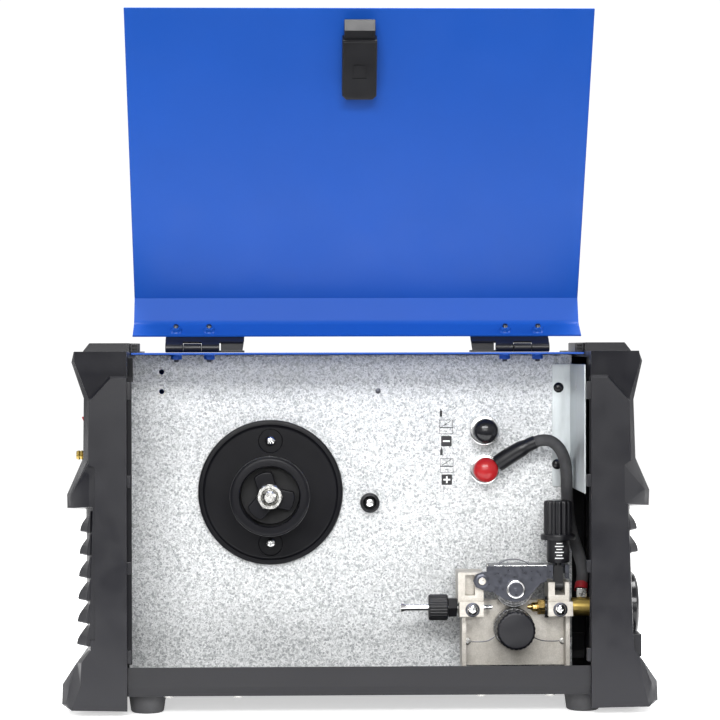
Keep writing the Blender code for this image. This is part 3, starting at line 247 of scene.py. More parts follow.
def joined(*shapes):
    """Several shapes in one mesh."""
    whole = bmesh.new()
    for shape in shapes:
        mesh = bpy.data.meshes.new("share")
        shape.to_mesh(mesh)
        whole.from_mesh(mesh)
        bpy.data.meshes.remove(mesh)
        shape.free()
    return whole


def loose(shape):
    mesh = bpy.data.meshes.new("loose")
    shape.to_mesh(mesh)
    shape.free()
    obj = bpy.data.objects.new("loose", mesh)
    bpy.context.scene.collection.objects.link(obj)
    return obj


def carve(shape, *others, operation="DIFFERENCE"):
    """Cuts, joins or intersects solids."""
    target = loose(shape)
    tools = [loose(other) for other in others]
    for tool in tools:
        step = target.modifiers.new("carve", "BOOLEAN")
        step.operation = operation
        step.solver = "EXACT"
        step.object = tool
    bpy.context.view_layer.update()
    mesh = bpy.data.meshes.new_from_object(
        target.evaluated_get(bpy.context.evaluated_depsgraph_get())
    )
    for obj in [target] + tools:
        bpy.data.objects.remove(obj, do_unlink=True)
    bm = bmesh.new()
    bm.from_mesh(mesh)
    bpy.data.meshes.remove(mesh)
    return bm


def offset_line(points, distance):
    """The open line moved sideways by distance, with mitred corners."""
    moved = []
    for k, point in enumerate(points):
        here = Vector(point)
        normals = []
        for a, b in ((k - 1, k), (k, k + 1)):
            if a < 0 or b >= len(points):
                continue
            along = (Vector(points[b]) - Vector(points[a])).normalized()
            normals.append(Vector((-along.y, along.x)))
        middle = sum(normals, Vector((0, 0))).normalized()
        moved.append(tuple(here + middle * distance / middle.dot(normals[0])))
    return moved


def bent(section, x0, x1, thickness, bend=0.002):
    """Folded sheet: the outer face's (y, z) section, thickened to its left side, drawn from x0 to x1."""
    line = soften(section, bend, closed=False, steps=5)
    outline = line + offset_line(line, thickness)[::-1]
    return flat([outline], x1 - x0, facing(X, ((x0 + x1) / 2, 0, 0)), 0.0002, 0)


def loft(sections):
    """A closed solid through outlines of (x, z) at rising depths, all with one count of corners."""
    bm = bmesh.new()
    rings = []
    for depth, outline in sections:
        rings.append([bm.verts.new(at(x, depth, z)) for x, z in outline])
    for near, far in zip(rings, rings[1:]):
        for k, corner in enumerate(near):
            n = (k + 1) % len(near)
            bm.faces.new((corner, near[n], far[n], far[k]))
    bmesh.ops.triangulate(bm, faces=[f for f in bm.faces])
    bm.faces.new(rings[0])
    bm.faces.new(rings[-1])
    bmesh.ops.recalc_face_normals(bm, faces=bm.faces)
    return bm


def plate_xz(outline, near, far):
    """A plain solid with an (x, z) outline between two depths."""
    return loft([(near, outline), (far, outline)])


# ---------------------------------------------------------------- materials


class Nodes:
    """Adds shader nodes to one material."""

    def __init__(self, name):
        self.material = bpy.data.materials.new(name)
        self.material.use_nodes = True
        self.tree = self.material.node_tree
        self.shader = self.tree.nodes["Principled BSDF"]

    def add(self, kind, **values):
        node = self.tree.nodes.new(kind)
        for key, value in values.items():
            if key in node.inputs:
                node.inputs[key].default_value = value
            else:
                setattr(node, key, value)
        return node

    def link(self, source, target):
        self.tree.links.new(source, target)

    def noise(self, scale, detail=3.0, roughness=0.5):
        node = self.add("ShaderNodeTexNoise", Scale=scale, Detail=detail, Roughness=roughness)
        self.link(self.place(), node.inputs["Vector"])
        return node.outputs["Fac"]

    def cells(self, scale, feature="F1", output="Distance"):
        node = self.add("ShaderNodeTexVoronoi", feature=feature, Scale=scale)
        self.link(self.place(), node.inputs["Vector"])
        return node.outputs[output]

    def place(self):
        if not hasattr(self, "coordinates"):
            self.coordinates = self.add("ShaderNodeTexCoord").outputs["Object"]
        return self.coordinates

    def stretched(self, scale):
        """Places scaled apart along X, Y and Z, for brushed or drawn metal."""
        node = self.add("ShaderNodeMapping")
        node.inputs["Scale"].default_value = scale
        self.link(self.place(), node.inputs["Vector"])
        noise = self.add("ShaderNodeTexNoise", Scale=1.0, Detail=4.0)
        self.link(node.outputs["Vector"], noise.inputs["Vector"])
        return noise.outputs["Fac"]

    def ramp(self, source, stops):
        """A colour or a grey value by the source: stops of (position, colour or number)."""
        node = self.add("ShaderNodeValToRGB")
        ramp = node.color_ramp
        while len(ramp.elements) < len(stops):
            ramp.elements.new(0.5)
        for element, (position, value) in zip(ramp.elements, stops):
            element.position = position
            rgb = value if isinstance(value, tuple) else (value, value, value)
            element.color = (*rgb, 1)
        self.link(source, node.inputs["Fac"])
        return node.outputs["Color"]

    def mixed(self, share, first, second, kind="MIX"):
        node = self.add("ShaderNodeMix", data_type="RGBA", blend_type=kind)
        for socket, value in ((node.inputs[0], share), (node.inputs[6], first), (node.inputs[7], second)):
            if isinstance(value, (int, float)):
                socket.default_value = value
            elif isinstance(value, tuple):
                socket.default_value = (*value, 1)
            else:
                self.link(value, socket)
        return node.outputs[2]

    def bump(self, heights):
        """Stacks (height source, strength, distance) bumps onto the shader."""
        below = None
        for source, strength, distance in heights:
            node = self.add("ShaderNodeBump", Strength=strength, Distance=distance)
            self.link(source, node.inputs["Height"])
            if below:
                self.link(below, node.inputs["Normal"])
            below = node.outputs["Normal"]
        self.link(below, self.shader.inputs["Normal"])

    def set(self, **values):
        for key, value in values.items():
            socket = self.shader.inputs[key.replace("_", " ")]
            if isinstance(value, tuple):
                socket.default_value = (*value, 1)
            elif isinstance(value, (int, float)):
                socket.default_value = value
            else:
                self.link(value, socket)


def scaled(colour, factor):
    return tuple(min(1, channel * factor) for channel in colour)


def plastic(name, colour, rough, grain=1400, depth=0.00006, strength=0.35, wear=0.12, level=0.35):
    """Moulded plastic: a fine spark-eroded grain, faint cloudiness and uneven gloss."""
    m = Nodes(name)
    cloud = m.noise(14, 4)
    tint = m.ramp(cloud, [(0.3, scaled(colour, 1 - wear)), (0.7, scaled(colour, 1 + wear))])
    fleck = m.ramp(m.noise(2600, 2), [(0.45, 0.0), (0.75, 1.0)])
    m.set(Base_Color=m.mixed(fleck, tint, scaled(colour, 1.35)), Specular_IOR_Level=level)
    m.set(Roughness=m.ramp(m.noise(60, 5), [(0.3, rough - 0.06), (0.7, rough + 0.08)]))
    m.bump([(m.noise(grain, 2), strength, depth), (m.noise(90, 2), 0.10, 0.0002)])
    return m.material


def paint(name, colour, rough, peel=520, level=0.35, coat=0.12):
    """Powder coat: orange peel, slight shade changes and specks of dust."""
    m = Nodes(name)
    tint = m.ramp(m.noise(9, 3), [(0.3, scaled(colour, 0.95)), (0.7, scaled(colour, 1.05))])
    dust = m.ramp(m.noise(1900, 1), [(0.70, 0.0), (0.82, 0.25)])
    m.set(Base_Color=m.mixed(dust, tint, scaled(colour, 1.6)))
    m.set(Roughness=m.ramp(m.noise(40, 4), [(0.3, rough - 0.05), (0.7, rough + 0.06)]))
    m.set(Coat_Weight=coat, Coat_Roughness=0.25, Specular_IOR_Level=level)
    m.bump([(m.noise(peel, 1), 0.16, 0.00012), (m.noise(2400, 1), 0.05, 0.00004)])
    return m.material


def metal(name, colour, rough, drawn=None, pits=900, depth=0.00005, strength=0.2, spread=0.17):
    """Machined or plated metal, with drawn scratches along the axis whose scale is smallest."""
    m = Nodes(name)
    lines = m.stretched(drawn) if drawn else m.noise(300, 4)
    tints = [(0.25, scaled(colour, 1 - spread)), (0.75, scaled(colour, 1 + spread * 0.6))]
    m.set(Base_Color=m.ramp(lines, tints))
    m.set(Metallic=1.0, Roughness=m.ramp(lines, [(0.3, rough - 0.05), (0.7, rough + 0.10)]))
    m.bump([(m.noise(pits, 3), strength, depth), (lines, 0.12, 0.00004)])
    return m.material


def galvanised():
    """Hot-dip zinc: millimetre crystals of widely differing shade, saltier in cloudy patches."""
    m = Nodes("galvanised")
    crystal = m.cells(620, output="Color")
    shades = [(0.10, (0.33, 0.345, 0.35)), (0.40, (0.60, 0.615, 0.62)), (0.75, (0.76, 0.77, 0.775))]
    shade = m.ramp(crystal, shades)
    specks = m.ramp(m.noise(900, 2, 0.6), [(0.50, 0.0), (0.66, 0.80)])
    salt = m.ramp(m.noise(1150, 1, 0.5), [(0.58, 0.0), (0.70, 0.55)])
    stained = m.mixed(specks, shade, (0.20, 0.213, 0.223))
    salted = m.mixed(salt, stained, (0.86, 0.865, 0.87))
    cloud = m.ramp(m.noise(16, 4), [(0.3, 0.90), (0.7, 1.0)])
    m.set(Base_Color=m.mixed(1.0, salted, cloud, "MULTIPLY"))
    m.set(Metallic=0.25, Roughness=m.ramp(crystal, [(0.0, 0.38), (1.0, 0.60)]))
    m.bump([(m.noise(900, 2), 0.25, 0.00008)])
    return m.material


def cast_metal():
    """Sand-textured die casting with dull grey and faint brown patches."""
    m = Nodes("cast_alloy")
    patch = m.ramp(m.noise(120, 5), [(0.3, (0.50, 0.47, 0.42)), (0.7, (0.64, 0.61, 0.56))])
    grit = m.ramp(m.noise(1500, 3), [(0.4, 0.82), (0.7, 1.0)])
    m.set(Base_Color=m.mixed(1.0, patch, grit, "MULTIPLY"))
    m.set(Metallic=0.75, Roughness=m.ramp(m.noise(300, 4), [(0.3, 0.40), (0.7, 0.62)]))
    m.bump([(m.noise(1300, 4), 0.5, 0.00012), (m.noise(260, 3), 0.25, 0.0002)])
    return m.material


def rubber():
    m = Nodes("rubber")
    bloom = m.ramp(m.noise(70, 5), [(0.35, (0.028, 0.028, 0.030)), (0.75, (0.050, 0.050, 0.053))])
    m.set(Base_Color=bloom, Roughness=m.ramp(m.noise(200, 3), [(0.3, 0.75), (0.7, 0.92)]))
    m.bump([(m.noise(1600, 3), 0.35, 0.00008)])
    return m.material


def circuit():
    """Green solder mask over a maze of traces."""
    m = Nodes("circuit_green")
    traces = m.ramp(m.cells(260, "DISTANCE_TO_EDGE"), [(0.03, 0.0), (0.05, 1.0)])
    m.set(Base_Color=m.mixed(traces, (0.05, 0.22, 0.09), (0.018, 0.12, 0.045)))
    m.set(Roughness=m.ramp(m.noise(300), [(0.3, 0.25), (0.7, 0.4)]))
    m.bump([(traces, 0.3, 0.00005)])
    return m.material


def glow(name, colour, strength):
    m = Nodes(name)
    m.set(Base_Color=m.ramp(m.noise(400), [(0.3, scaled(colour, 0.8)), (0.7, colour)]))
    m.set(Roughness=0.25, Emission_Strength=strength)
    m.shader.inputs["Emission Color"].default_value = (*colour, 1)
    return m.material


BLUE = (0.0075, 0.068, 0.36)
LOOKS = {
    "blue_paint": paint("blue_paint", BLUE, 0.40, level=0.22, coat=0.04),
    "dark_plastic": plastic("dark_plastic", (0.0060, 0.0060, 0.0085), 0.34, 1300, 0.00006, 0.40),
    "hub_plastic": plastic("hub_plastic", (0.0045, 0.0045, 0.0060), 0.34, 1500, 0.00004, 0.25, level=0.14),
    "dark_steel": paint("dark_steel", (0.0050, 0.0050, 0.0070), 0.40, 800, coat=0.03),
    "galvanised": galvanised(),
    "galvanised_smooth": metal("galvanised_smooth", (0.50, 0.53, 0.54), 0.42, (200, 200, 60), 700, 0.00004),
    "black_plastic": plastic("black_plastic", (0.0060, 0.0060, 0.0075), 0.36, 1800, 0.00005, 0.3),
    "black_gloss": plastic("black_gloss", (0.010, 0.010, 0.012), 0.13, 300, 0.00002, 0.1),
    "red_plastic": plastic("red_plastic", (0.33, 0.013, 0.016), 0.20, 300, 0.00002, 0.1),
    "rubber": rubber(),
    "zinc": metal("zinc", (0.66, 0.655, 0.63), 0.24, (300, 300, 300)),
    "cast_alloy": cast_metal(),
    "blued_steel": metal("blued_steel", (0.075, 0.078, 0.092), 0.30, None, 700, 0.00003, 0.15, 0.03),
    "brass": metal("brass", (0.70, 0.48, 0.17), 0.24, None, 500, 0.00002, 0.1, 0.12),
    "brass_dull": metal("brass_dull", (0.40, 0.29, 0.085), 0.36, None, 500, 0.00003, 0.15, 0.15),
    "steel": metal("steel", (0.33, 0.33, 0.335), 0.22, None, 400, 0.00002, 0.1, 0.2),
    "circuit_green": circuit(),
    "aluminium": metal("aluminium", (0.62, 0.63, 0.64), 0.34, (30, 1200, 1200)),
    "chrome": metal("chrome", (0.86, 0.86, 0.86), 0.10, None, 200, 0.00002, 0.05),
    "print_black": plastic("print_black", (0.018, 0.018, 0.020), 0.5, 900, 0.00001, 0.05),
    "print_white": plastic("print_white", (0.74, 0.74, 0.74), 0.5, 900, 0.00001, 0.05, 0.03),
    "window": plastic("window", (0.020, 0.006, 0.008), 0.07, 200, 0.00001, 0.03),
    "red_rubber": plastic("red_rubber", (0.20, 0.008, 0.012), 0.42, 1200, 0.00005, 0.3),
    "lamp_green": glow("lamp_green", (0.05, 0.55, 0.12), 0.6),
    "lamp_amber": glow("lamp_amber", (0.75, 0.30, 0.02), 0.6),
}


def shade(obj, angle):
    obj.data.shade_smooth()
    obj.data.set_sharp_from_angle(angle=math.radians(angle))
    even = obj.modifiers.new("even shading", "WEIGHTED_NORMAL")
    even.keep_sharp = True


def piece(name, shape, look, body="chassis", stands_for=(), angle=38):
    """Makes the object of a shape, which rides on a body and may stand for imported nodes."""
    mesh = bpy.data.meshes.new(name)
    shape.to_mesh(mesh)
    shape.free()
    mesh.materials.append(LOOKS[look])
    obj = bpy.data.objects.new(name, mesh)
    bpy.context.scene.collection.objects.link(obj)
    shade(obj, angle)
    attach(obj, body)
    if stands_for:
        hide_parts(*stands_for)
    return obj


# ---------------------------------------------------------------- fasteners


def cross_screw(place, radius, height=0.0022):
    """A pan head screw with a cross recess, standing on its head's underside."""
    profile = [(0, height), (radius * 0.55, height * 0.93), (radius * 0.85, height * 0.62)]
    profile += [(radius, height * 0.2), (radius, 0), (0, 0)]
    head = lathe(profile, place, 32)
    arm = radius * 0.56
    width = radius * 0.13
    deep = height * 0.45
    cuts = []
    for u, v in ((arm, width), (width, arm)):
        cutter = block((-u, -v, height - deep), (u, v, height * 1.5), 0)
        for vertex in cutter.verts:
            if vertex.co.z < height:
                vertex.co.x *= 0.7
                vertex.co.y *= 0.7
        cuts.append(placed(cutter, place))
    return carve(head, *cuts)


def hexagon(place, across, height):
    """A nut or hexagon head with its corners turned off, and a hidden solid core."""
    corner = across / math.sqrt(3)
    body = flat([circle(0, 0, corner, 6)], height, place @ Matrix.Translation((0, 0, height / 2)), 0, 0)
    top = (corner * 0.88, height)
    cone = [(0, height), top, (corner * 1.01, height * 0.80), (corner * 1.01, 0), (0, 0)]
    return carve(body, lathe(cone, place, 48), operation="INTERSECT")


def thread(place, radius, length, pitch):
    """A screw's thread as close rings, from its foot to its tip."""
    profile = [(0, length), (radius * 0.8, length), (radius, length - radius * 0.2)]
    height = length - radius * 0.2
    while height > pitch:
        profile += [(radius * 0.87, height - pitch / 2), (radius, height - pitch)]
        height -= pitch
    return lathe(profile + [(radius, 0), (0, 0)], place, 28)


# ---------------------------------------------------------------- door, cover and hinges

HINGE = joint("door_hinge")
HINGE_POINT = Vector(HINGE["pos_m"])
TO_OPEN = (
    Matrix.Translation(HINGE_POINT)
    @ Matrix.Rotation(-math.radians(HINGE["range_deg"][1]), 4, "X")
    @ Matrix.Translation(-HINGE_POINT)
)
COVER_LOW, COVER_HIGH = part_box("top_cover")
SHOULDER_RUN = 0.0160
SHOULDER_DROP = 0.0144
HINGE_LAP = 0.0109  # from the hinge line to the door's edge
LEAF_SCREW_LAP = 0.0140
BLUE_NUT_ACROSS = 0.0070
DOOR_SKIRT = 0.0177
UPSTAND = 0.0088
LEAF_REACH = 0.0220
LEAF_THICK = 0.0015
LEAF_DROP = 0.0018
KNUCKLE_R = 0.00325
BARREL = 0.0400
LEAVES = ("hinge_rear_fixed", "hinge_front_fixed", "hinge_rear_moving", "hinge_front_moving")
CLOSED_LEAVES = {node: (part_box(node)[0].x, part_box(node)[1].x) for node in LEAVES}


def hinge_screw_places():
    """The four screw lines across X, two a hinge."""
    places = []
    for node in ("hinge_rear_fixed", "hinge_front_fixed"):
        low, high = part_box(node)
        inner = 0.0075
        reach = 0.0324
        start = low.x + inner if node == "hinge_rear_fixed" else high.x - inner - reach + 0.0080
        places.append((start, start + reach - 0.0080))
    return places


def door():
    top = COVER_HIGH.z
    face = NEAR + (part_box("rear_panel")[1].y - COVER_HIGH.y)
    section = [
        (HINGE_POINT.y - HINGE_LAP, top), (face + SHOULDER_RUN, top, 0.009),
        (face, top - SHOULDER_DROP, 0.0012), (face, DOOR_SKIRT),
    ]
    panel = bent(section, COVER_LOW.x, COVER_HIGH.x, SHEET)
    piece("door_skin", placed(panel, TO_OPEN), "blue_paint", "door", ["door_panel"], 12)


def cover():
    top = COVER_HIGH.z
    section = [
        (COVER_LOW.y, top), (COVER_HIGH.y - SHOULDER_RUN, top, 0.006),
        (COVER_HIGH.y, top - SHOULDER_DROP, 0.002), (COVER_HIGH.y, COVER_LOW.z),
    ]
    skin = bent(section, COVER_LOW.x, COVER_HIGH.x, -SHEET)
    slots = []
    for row in (0.0620, 0.0940):
        for k in range(8):
            x = -0.1400 + k * 0.0120
            outline = soften(rectangle(-x - 0.0035, row, -x, row + 0.022), 0.0017)
            slots.append(flat([outline], 0.020, facing(Y, (0, COVER_HIGH.y, 0)), 0, 0))
    piece("cover_skin", carve(skin, *slots), "blue_paint", "chassis", ["top_cover"])


def leaf_shape(node, towards, to_world):
    """A flat hinge leaf with rounded corners. The fixed leaf's free stretch, which stands up towards the door's
    leaf, is made by upstand.
    """
    low, high = CLOSED_LEAVES[node]
    knuckle_gap = 0.0036
    near, far = sorted((HINGE_POINT.y + towards * knuckle_gap, HINGE_POINT.y + towards * LEAF_REACH))
    outline = soften(rectangle(low, near, high, far), 0.0022)
    top = HINGE_POINT.z - LEAF_DROP
    middle = Matrix.Translation((0, 0, top - LEAF_THICK / 2))
    return placed(flat([outline], LEAF_THICK, middle, 0.0003), to_world)


def upstand(node):
    """The fixed leaf's end beyond the knuckles, folded up to close the gap under the door."""
    low, high = CLOSED_LEAVES[node]
    gap = 0.0008
    inner, outer = (low + BARREL + gap, high) if "rear" in node else (low, high - BARREL - gap)
    foot = HINGE_POINT.z - LEAF_DROP - LEAF_THICK
    lean = 0.0014 if "rear" in node else -0.0014
    top = foot + UPSTAND
    corners = [(inner, foot, 0.0004), (outer, foot, 0.0008), (outer, top, 0.0012), (inner, top, 0.0004)]
    if "rear" in node:
        corners[1] = (outer - lean, foot, 0.0010)
    else:
        corners[0] = (inner - lean, foot, 0.0010)
    return flat([soften(corners, 0.0004)], LEAF_THICK, facing(-Y, (0, HINGE_POINT.y + 0.0046, 0)), 0.0003)


def flange_nut(place):
    """A hexagon nut on a domed flange, standing on its flange."""
    flange = lathe([(0.0034, 0.0014), (0.0042, 0.0005), (0.0043, 0.0), (0, 0), (0, 0.0014)], place, 40)
    return joined(flange, hexagon(place @ Matrix.Translation((0, 0, 0.0010)), BLUE_NUT_ACROSS, 0.0028))


def knuckles(node, own, to_world):
    low, high = CLOSED_LEAVES[node]
    start = low if "rear" in node else high - BARREL
    third = BARREL / 3
    gap = 0.00015
    shapes = []
    for k in own:
        foot = Vector((start + k * third + gap, HINGE_POINT.y, HINGE_POINT.z))
        length = third - 2 * gap
        edge = 0.0004
        r = KNUCKLE_R
        profile = [(0, length), (r - edge, length), (r, length - edge), (r, edge), (r - edge, 0), (0, 0)]
        shapes.append(placed(lathe(profile, facing(X, foot), 40), to_world))
        towards = 1 if "fixed" in node else -1
        ends = sorted((HINGE_POINT.y, HINGE_POINT.y + towards * 0.0060))
        top = HINGE_POINT.z - LEAF_DROP
        tongue = block((foot.x, ends[0], top - LEAF_THICK), (foot.x + length, ends[1], top), 0.0002, 1)
        shapes.append(placed(tongue, to_world))
    return shapes


def hinges():
    still = Matrix.Identity(4)
    for side in ("rear", "front"):
        fixed = f"hinge_{side}_fixed"
        moving = f"hinge_{side}_moving"
        shapes = [leaf_shape(fixed, 1, still), upstand(fixed)] + knuckles(fixed, (1,), still)
        piece(f"hinge_{side}_fixed_leaf", joined(*shapes), "black_plastic", "chassis", [fixed])
        shapes = [leaf_shape(moving, -1, TO_OPEN)] + knuckles(moving, (0, 2), TO_OPEN)
        piece(f"hinge_{side}_moving_leaf", joined(*shapes), "black_plastic", "door", [moving])
    top = HINGE_POINT.z - LEAF_DROP
    sheet_top = COVER_HIGH.z
    heads, nuts, tips = [], [], []
    door_heads, door_nuts, door_tips = [], [], []
    for pair in hinge_screw_places():
        for x in pair:
            place = facing(Z, (x, HINGE_POINT.y + LEAF_SCREW_LAP, top))
            heads.append(cross_screw(place, 0.0034, 0.0014))
            under = (x, HINGE_POINT.y + LEAF_SCREW_LAP, sheet_top - SHEET)
            nuts.append(flange_nut(facing(-Z, under)))
            tips.append(thread(facing(-Z, under), 0.0019, 0.0056, 0.0007))
            place = facing(Z, (x, HINGE_POINT.y - LEAF_SCREW_LAP - 0.0030, top))
            door_heads.append(placed(cross_screw(place, 0.0034, 0.0014), TO_OPEN))
            under = (x, HINGE_POINT.y - LEAF_SCREW_LAP - 0.0030, sheet_top - SHEET)
            door_nuts.append(placed(flange_nut(facing(-Z, under)), TO_OPEN))
            door_tips.append(placed(thread(facing(-Z, under), 0.0019, 0.0056, 0.0007), TO_OPEN))
    piece("cover_hinge_screws", joined(*heads), "black_plastic")
    piece("cover_hinge_nuts", joined(*nuts), "blue_paint")
    piece("cover_hinge_bolt_ends", joined(*tips), "blued_steel")
    piece("door_hinge_screws", joined(*door_heads), "black_plastic", "door")
    piece("door_hinge_nuts", joined(*door_nuts), "blue_paint", "door")
    piece("door_hinge_bolt_ends", joined(*door_tips), "blued_steel", "door")


LATCH_HALF = 0.0123
LATCH_FOOT = 0.0372
LATCH_TOP = 0.0824
LATCH_BACK = 0.0132
BOLT_HALF = 0.0110
BOLT_NEAR = 0.0064
BOLT_FAR = 0.0119
BOLT_TIP = 0.0240
BOLT_SLOPE_TOP = 0.0306
BOLT_END = 0.0580
BOLT_STROKE = 0.0112


def latch():
    """Slam latch, in its place on the shut door and then swung up with it."""
    near = 0.0022
    h = LATCH_HALF
    corner = 0.0029
    outline = [
        (-h, LATCH_FOOT, 0.0008), (h, LATCH_FOOT, 0.0008), (h, LATCH_TOP - corner, 0.0006),
        (h - corner, LATCH_TOP, 0.0006), (-h + corner, LATCH_TOP, 0.0006),
        (-h, LATCH_TOP - corner, 0.0006),
    ]
    middle = facing(-Y, (0, NEAR + (near + LATCH_BACK) / 2, 0))
    body = flat([soften(outline, 0.001)], LATCH_BACK - near, middle, 0.0009, 2)
    pocket_top = BOLT_END + BOLT_STROKE + 0.0008
    pocket = slab(-0.0115, BOLT_NEAR - 0.0003, LATCH_FOOT - 0.01, 0.0115, BOLT_FAR + 0.0003, pocket_top, 0)
    frame_out = soften(rectangle(-0.0052, 0.0552, 0.0052, 0.0661), 0.0008)
    frame_in = soften(rectangle(-0.0042, 0.0562, 0.0042, 0.0651), 0.0006)
    ring = flat([frame_out, frame_in], 0.0010, facing(-Y, (0, NEAR + LATCH_BACK, 0)), 0, 0)
    shape = carve(body, pocket, ring)
    near, far = LATCH_BACK - 0.0010, LATCH_BACK + 0.0006
    ridge = slab(-h + 0.0006, near, LATCH_FOOT + 0.0002, h - 0.0006, far, 0.0392, 0.0005)
    piece("latch_case", placed(joined(shape, ridge), TO_OPEN), "black_plastic", "door", ["latch_housing"], 30)
    outline = [
        (NEAR + BOLT_NEAR, BOLT_END), (NEAR + BOLT_NEAR, BOLT_TIP),
        (NEAR + BOLT_NEAR + 0.0012, BOLT_TIP), (NEAR + BOLT_FAR, BOLT_SLOPE_TOP),
        (NEAR + BOLT_FAR, BOLT_END),
    ]
    bolt = flat([soften(outline, 0.0005)], 2 * BOLT_HALF, facing(X), 0.0004, 1)
    ribs = []
    for x in (-0.0078, 0.0078):
        ribs.append(slab(x - 0.0003, BOLT_FAR - 0.0004, 0.0318, x + 0.0003, BOLT_FAR + 0.001, 0.0364, 0))
    ribs.append(slab(-0.0078, BOLT_FAR - 0.0004, 0.0360, 0.0078, BOLT_FAR + 0.001, 0.0366, 0))
    tongue = placed(carve(bolt, *ribs), TO_OPEN)
    piece("latch_tongue", tongue, "black_plastic", "door_latch", ["latch_bolt"], 30)


# ---------------------------------------------------------------- casing


def refine(node, edge, rounds=2, angle=30):
    """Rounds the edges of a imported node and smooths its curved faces."""
    obj = NODES[node]
    weld = obj.modifiers.new("weld", "WELD")
    weld.merge_threshold = 0.00001
    faces = obj.modifiers.new("faces", "DECIMATE")
    faces.decimate_type = "DISSOLVE"
    faces.angle_limit = math.radians(1.5)
    if edge:
        rim = obj.modifiers.new("edges", "BEVEL")
        rim.width = edge
        rim.segments = rounds
        rim.limit_method = "ANGLE"
        rim.angle_limit = math.radians(angle)
        rim.harden_normals = True
    shade(obj, 40)


# Corners of an end panel going round its outline: (x, z) on the side face, at the inside edge of
# the rim's bevel, and on the full outline. X counts outwards from the middle.
FACE_DEPTHS = (0.0, 0.0090, 0.0125)
REAR_CORNERS = (
    ((0.1670, 0.2620), (0.1670, 0.2620), (0.1670, 0.2620)),
    ((0.2044, 0.2620), (0.2048, 0.2620), (0.2058, 0.2618)),
    ((0.2042, 0.2546), (0.2052, 0.2544), (0.2074, 0.2542)),
    ((0.1940, 0.2283), (0.1951, 0.2283), (0.1986, 0.2283)),
    ((0.1944, 0.1820), (0.1955, 0.1838), (0.1991, 0.1852)),
    ((0.1898, 0.1786), (0.2070, 0.1596), (0.2107, 0.1590)),
    ((0.1898, 0.1510), (0.2070, 0.1495), (0.2105, 0.1493)),
    ((0.1899, 0.1495), (0.1955, 0.1491), (0.1970, 0.1487)),
    ((0.1930, 0.0480), (0.1952, 0.0470), (0.1962, 0.0455)),
    ((0.1996, 0.0392), (0.2034, 0.0380), (0.2046, 0.0372)),
    ((0.2002, 0.0222), (0.2090, 0.0217), (0.2143, 0.0221)),
    ((0.2058, 0.0078), (0.2116, 0.0078), (0.2147, 0.0078)),
    ((0.2068, 0.0048), (0.2072, 0.0036), (0.2080, 0.0031)),
    ((0.1670, 0.0040), (0.1670, 0.0032), (0.1670, 0.0031)),
)
FRONT_CORNERS = (
    ((0.1670, 0.2620), (0.1670, 0.2620), (0.1670, 0.2620)),
    ((0.2016, 0.2620), (0.2020, 0.2620), (0.2030, 0.2620)),
    ((0.2026, 0.2550), (0.2034, 0.2549), (0.2056, 0.2547)),
    ((0.1947, 0.2280), (0.1960, 0.2270), (0.1992, 0.2266)),
    ((0.1956, 0.1830), (0.1972, 0.1832), (0.2006, 0.1842)),
    ((0.1909, 0.1796), (0.2070, 0.1616), (0.2106, 0.1612)),
    ((0.1912, 0.1518), (0.2068, 0.1503), (0.2102, 0.1500)),
    ((0.1934, 0.1500), (0.1952, 0.1498), (0.1962, 0.1496)),
    ((0.1974, 0.0480), (0.1980, 0.0470), (0.1985, 0.0455)),
    ((0.2022, 0.0398), (0.2034, 0.0388), (0.2052, 0.0383)),
    ((0.2048, 0.0206), (0.2116, 0.0214), (0.2160, 0.0222)),
    ((0.2078, 0.0088), (0.2136, 0.0086), (0.2166, 0.0084)),
    ((0.2090, 0.0056), (0.2094, 0.0038), (0.2098, 0.0032)),
    ((0.1670, 0.0046), (0.1670, 0.0034), (0.1670, 0.0032)),
)
HOLLOW = (
    (0.1500, 0.2575), (0.2000, 0.2575), (0.2010, 0.2540), (0.1952, 0.2300), (0.1905, 0.2280),
    (0.1905, 0.1822), (0.1960, 0.1815), (0.2066, 0.1597), (0.2064, 0.1528), (0.1930, 0.1528),
    (0.1920, 0.0440), (0.2010, 0.0405), (0.2106, 0.0245), (0.2110, 0.0100), (0.2075, 0.0070),
    (0.1830, 0.0070), (0.1810, -0.0020), (0.1500, -0.0020),
)
SHALLOW_HOLLOW = (
    (0.1500, 0.2400), (0.1865, 0.2400), (0.1865, 0.0070), (0.1830, 0.0070), (0.1810, -0.0020),
    (0.1500, -0.0020),
)
STEP_DEPTH = 0.0024  # of the sunk corner above the side face's slanting edge
STEP_CHAMFER = 0.0018
PAD_FOOT = 0.2620
STEP_SLOPE = 0.105  # depth gained for each metre down, so the sunk corner leans
LOUVRE_PITCH = 0.0163
LOUVRE_PROFILE = (  # inwards and up from a louvre's tip
    (0.0014, 0.0000),
    (0.0004, 0.0003),
    (0.0000, 0.0010),
    (0.0006, 0.0040),
    (0.0019, 0.0068),
    (0.0040, 0.0098),
    (0.0066, 0.0132),
    (0.0085, 0.0156),
)
CLIP_TABS = ((0.2270, 0.2400), (0.1640, 0.1730), (0.1020, 0.1110), (0.0380, 0.0475))


def outwards(points, side):
    return [(side * x, z) for x, z in points]


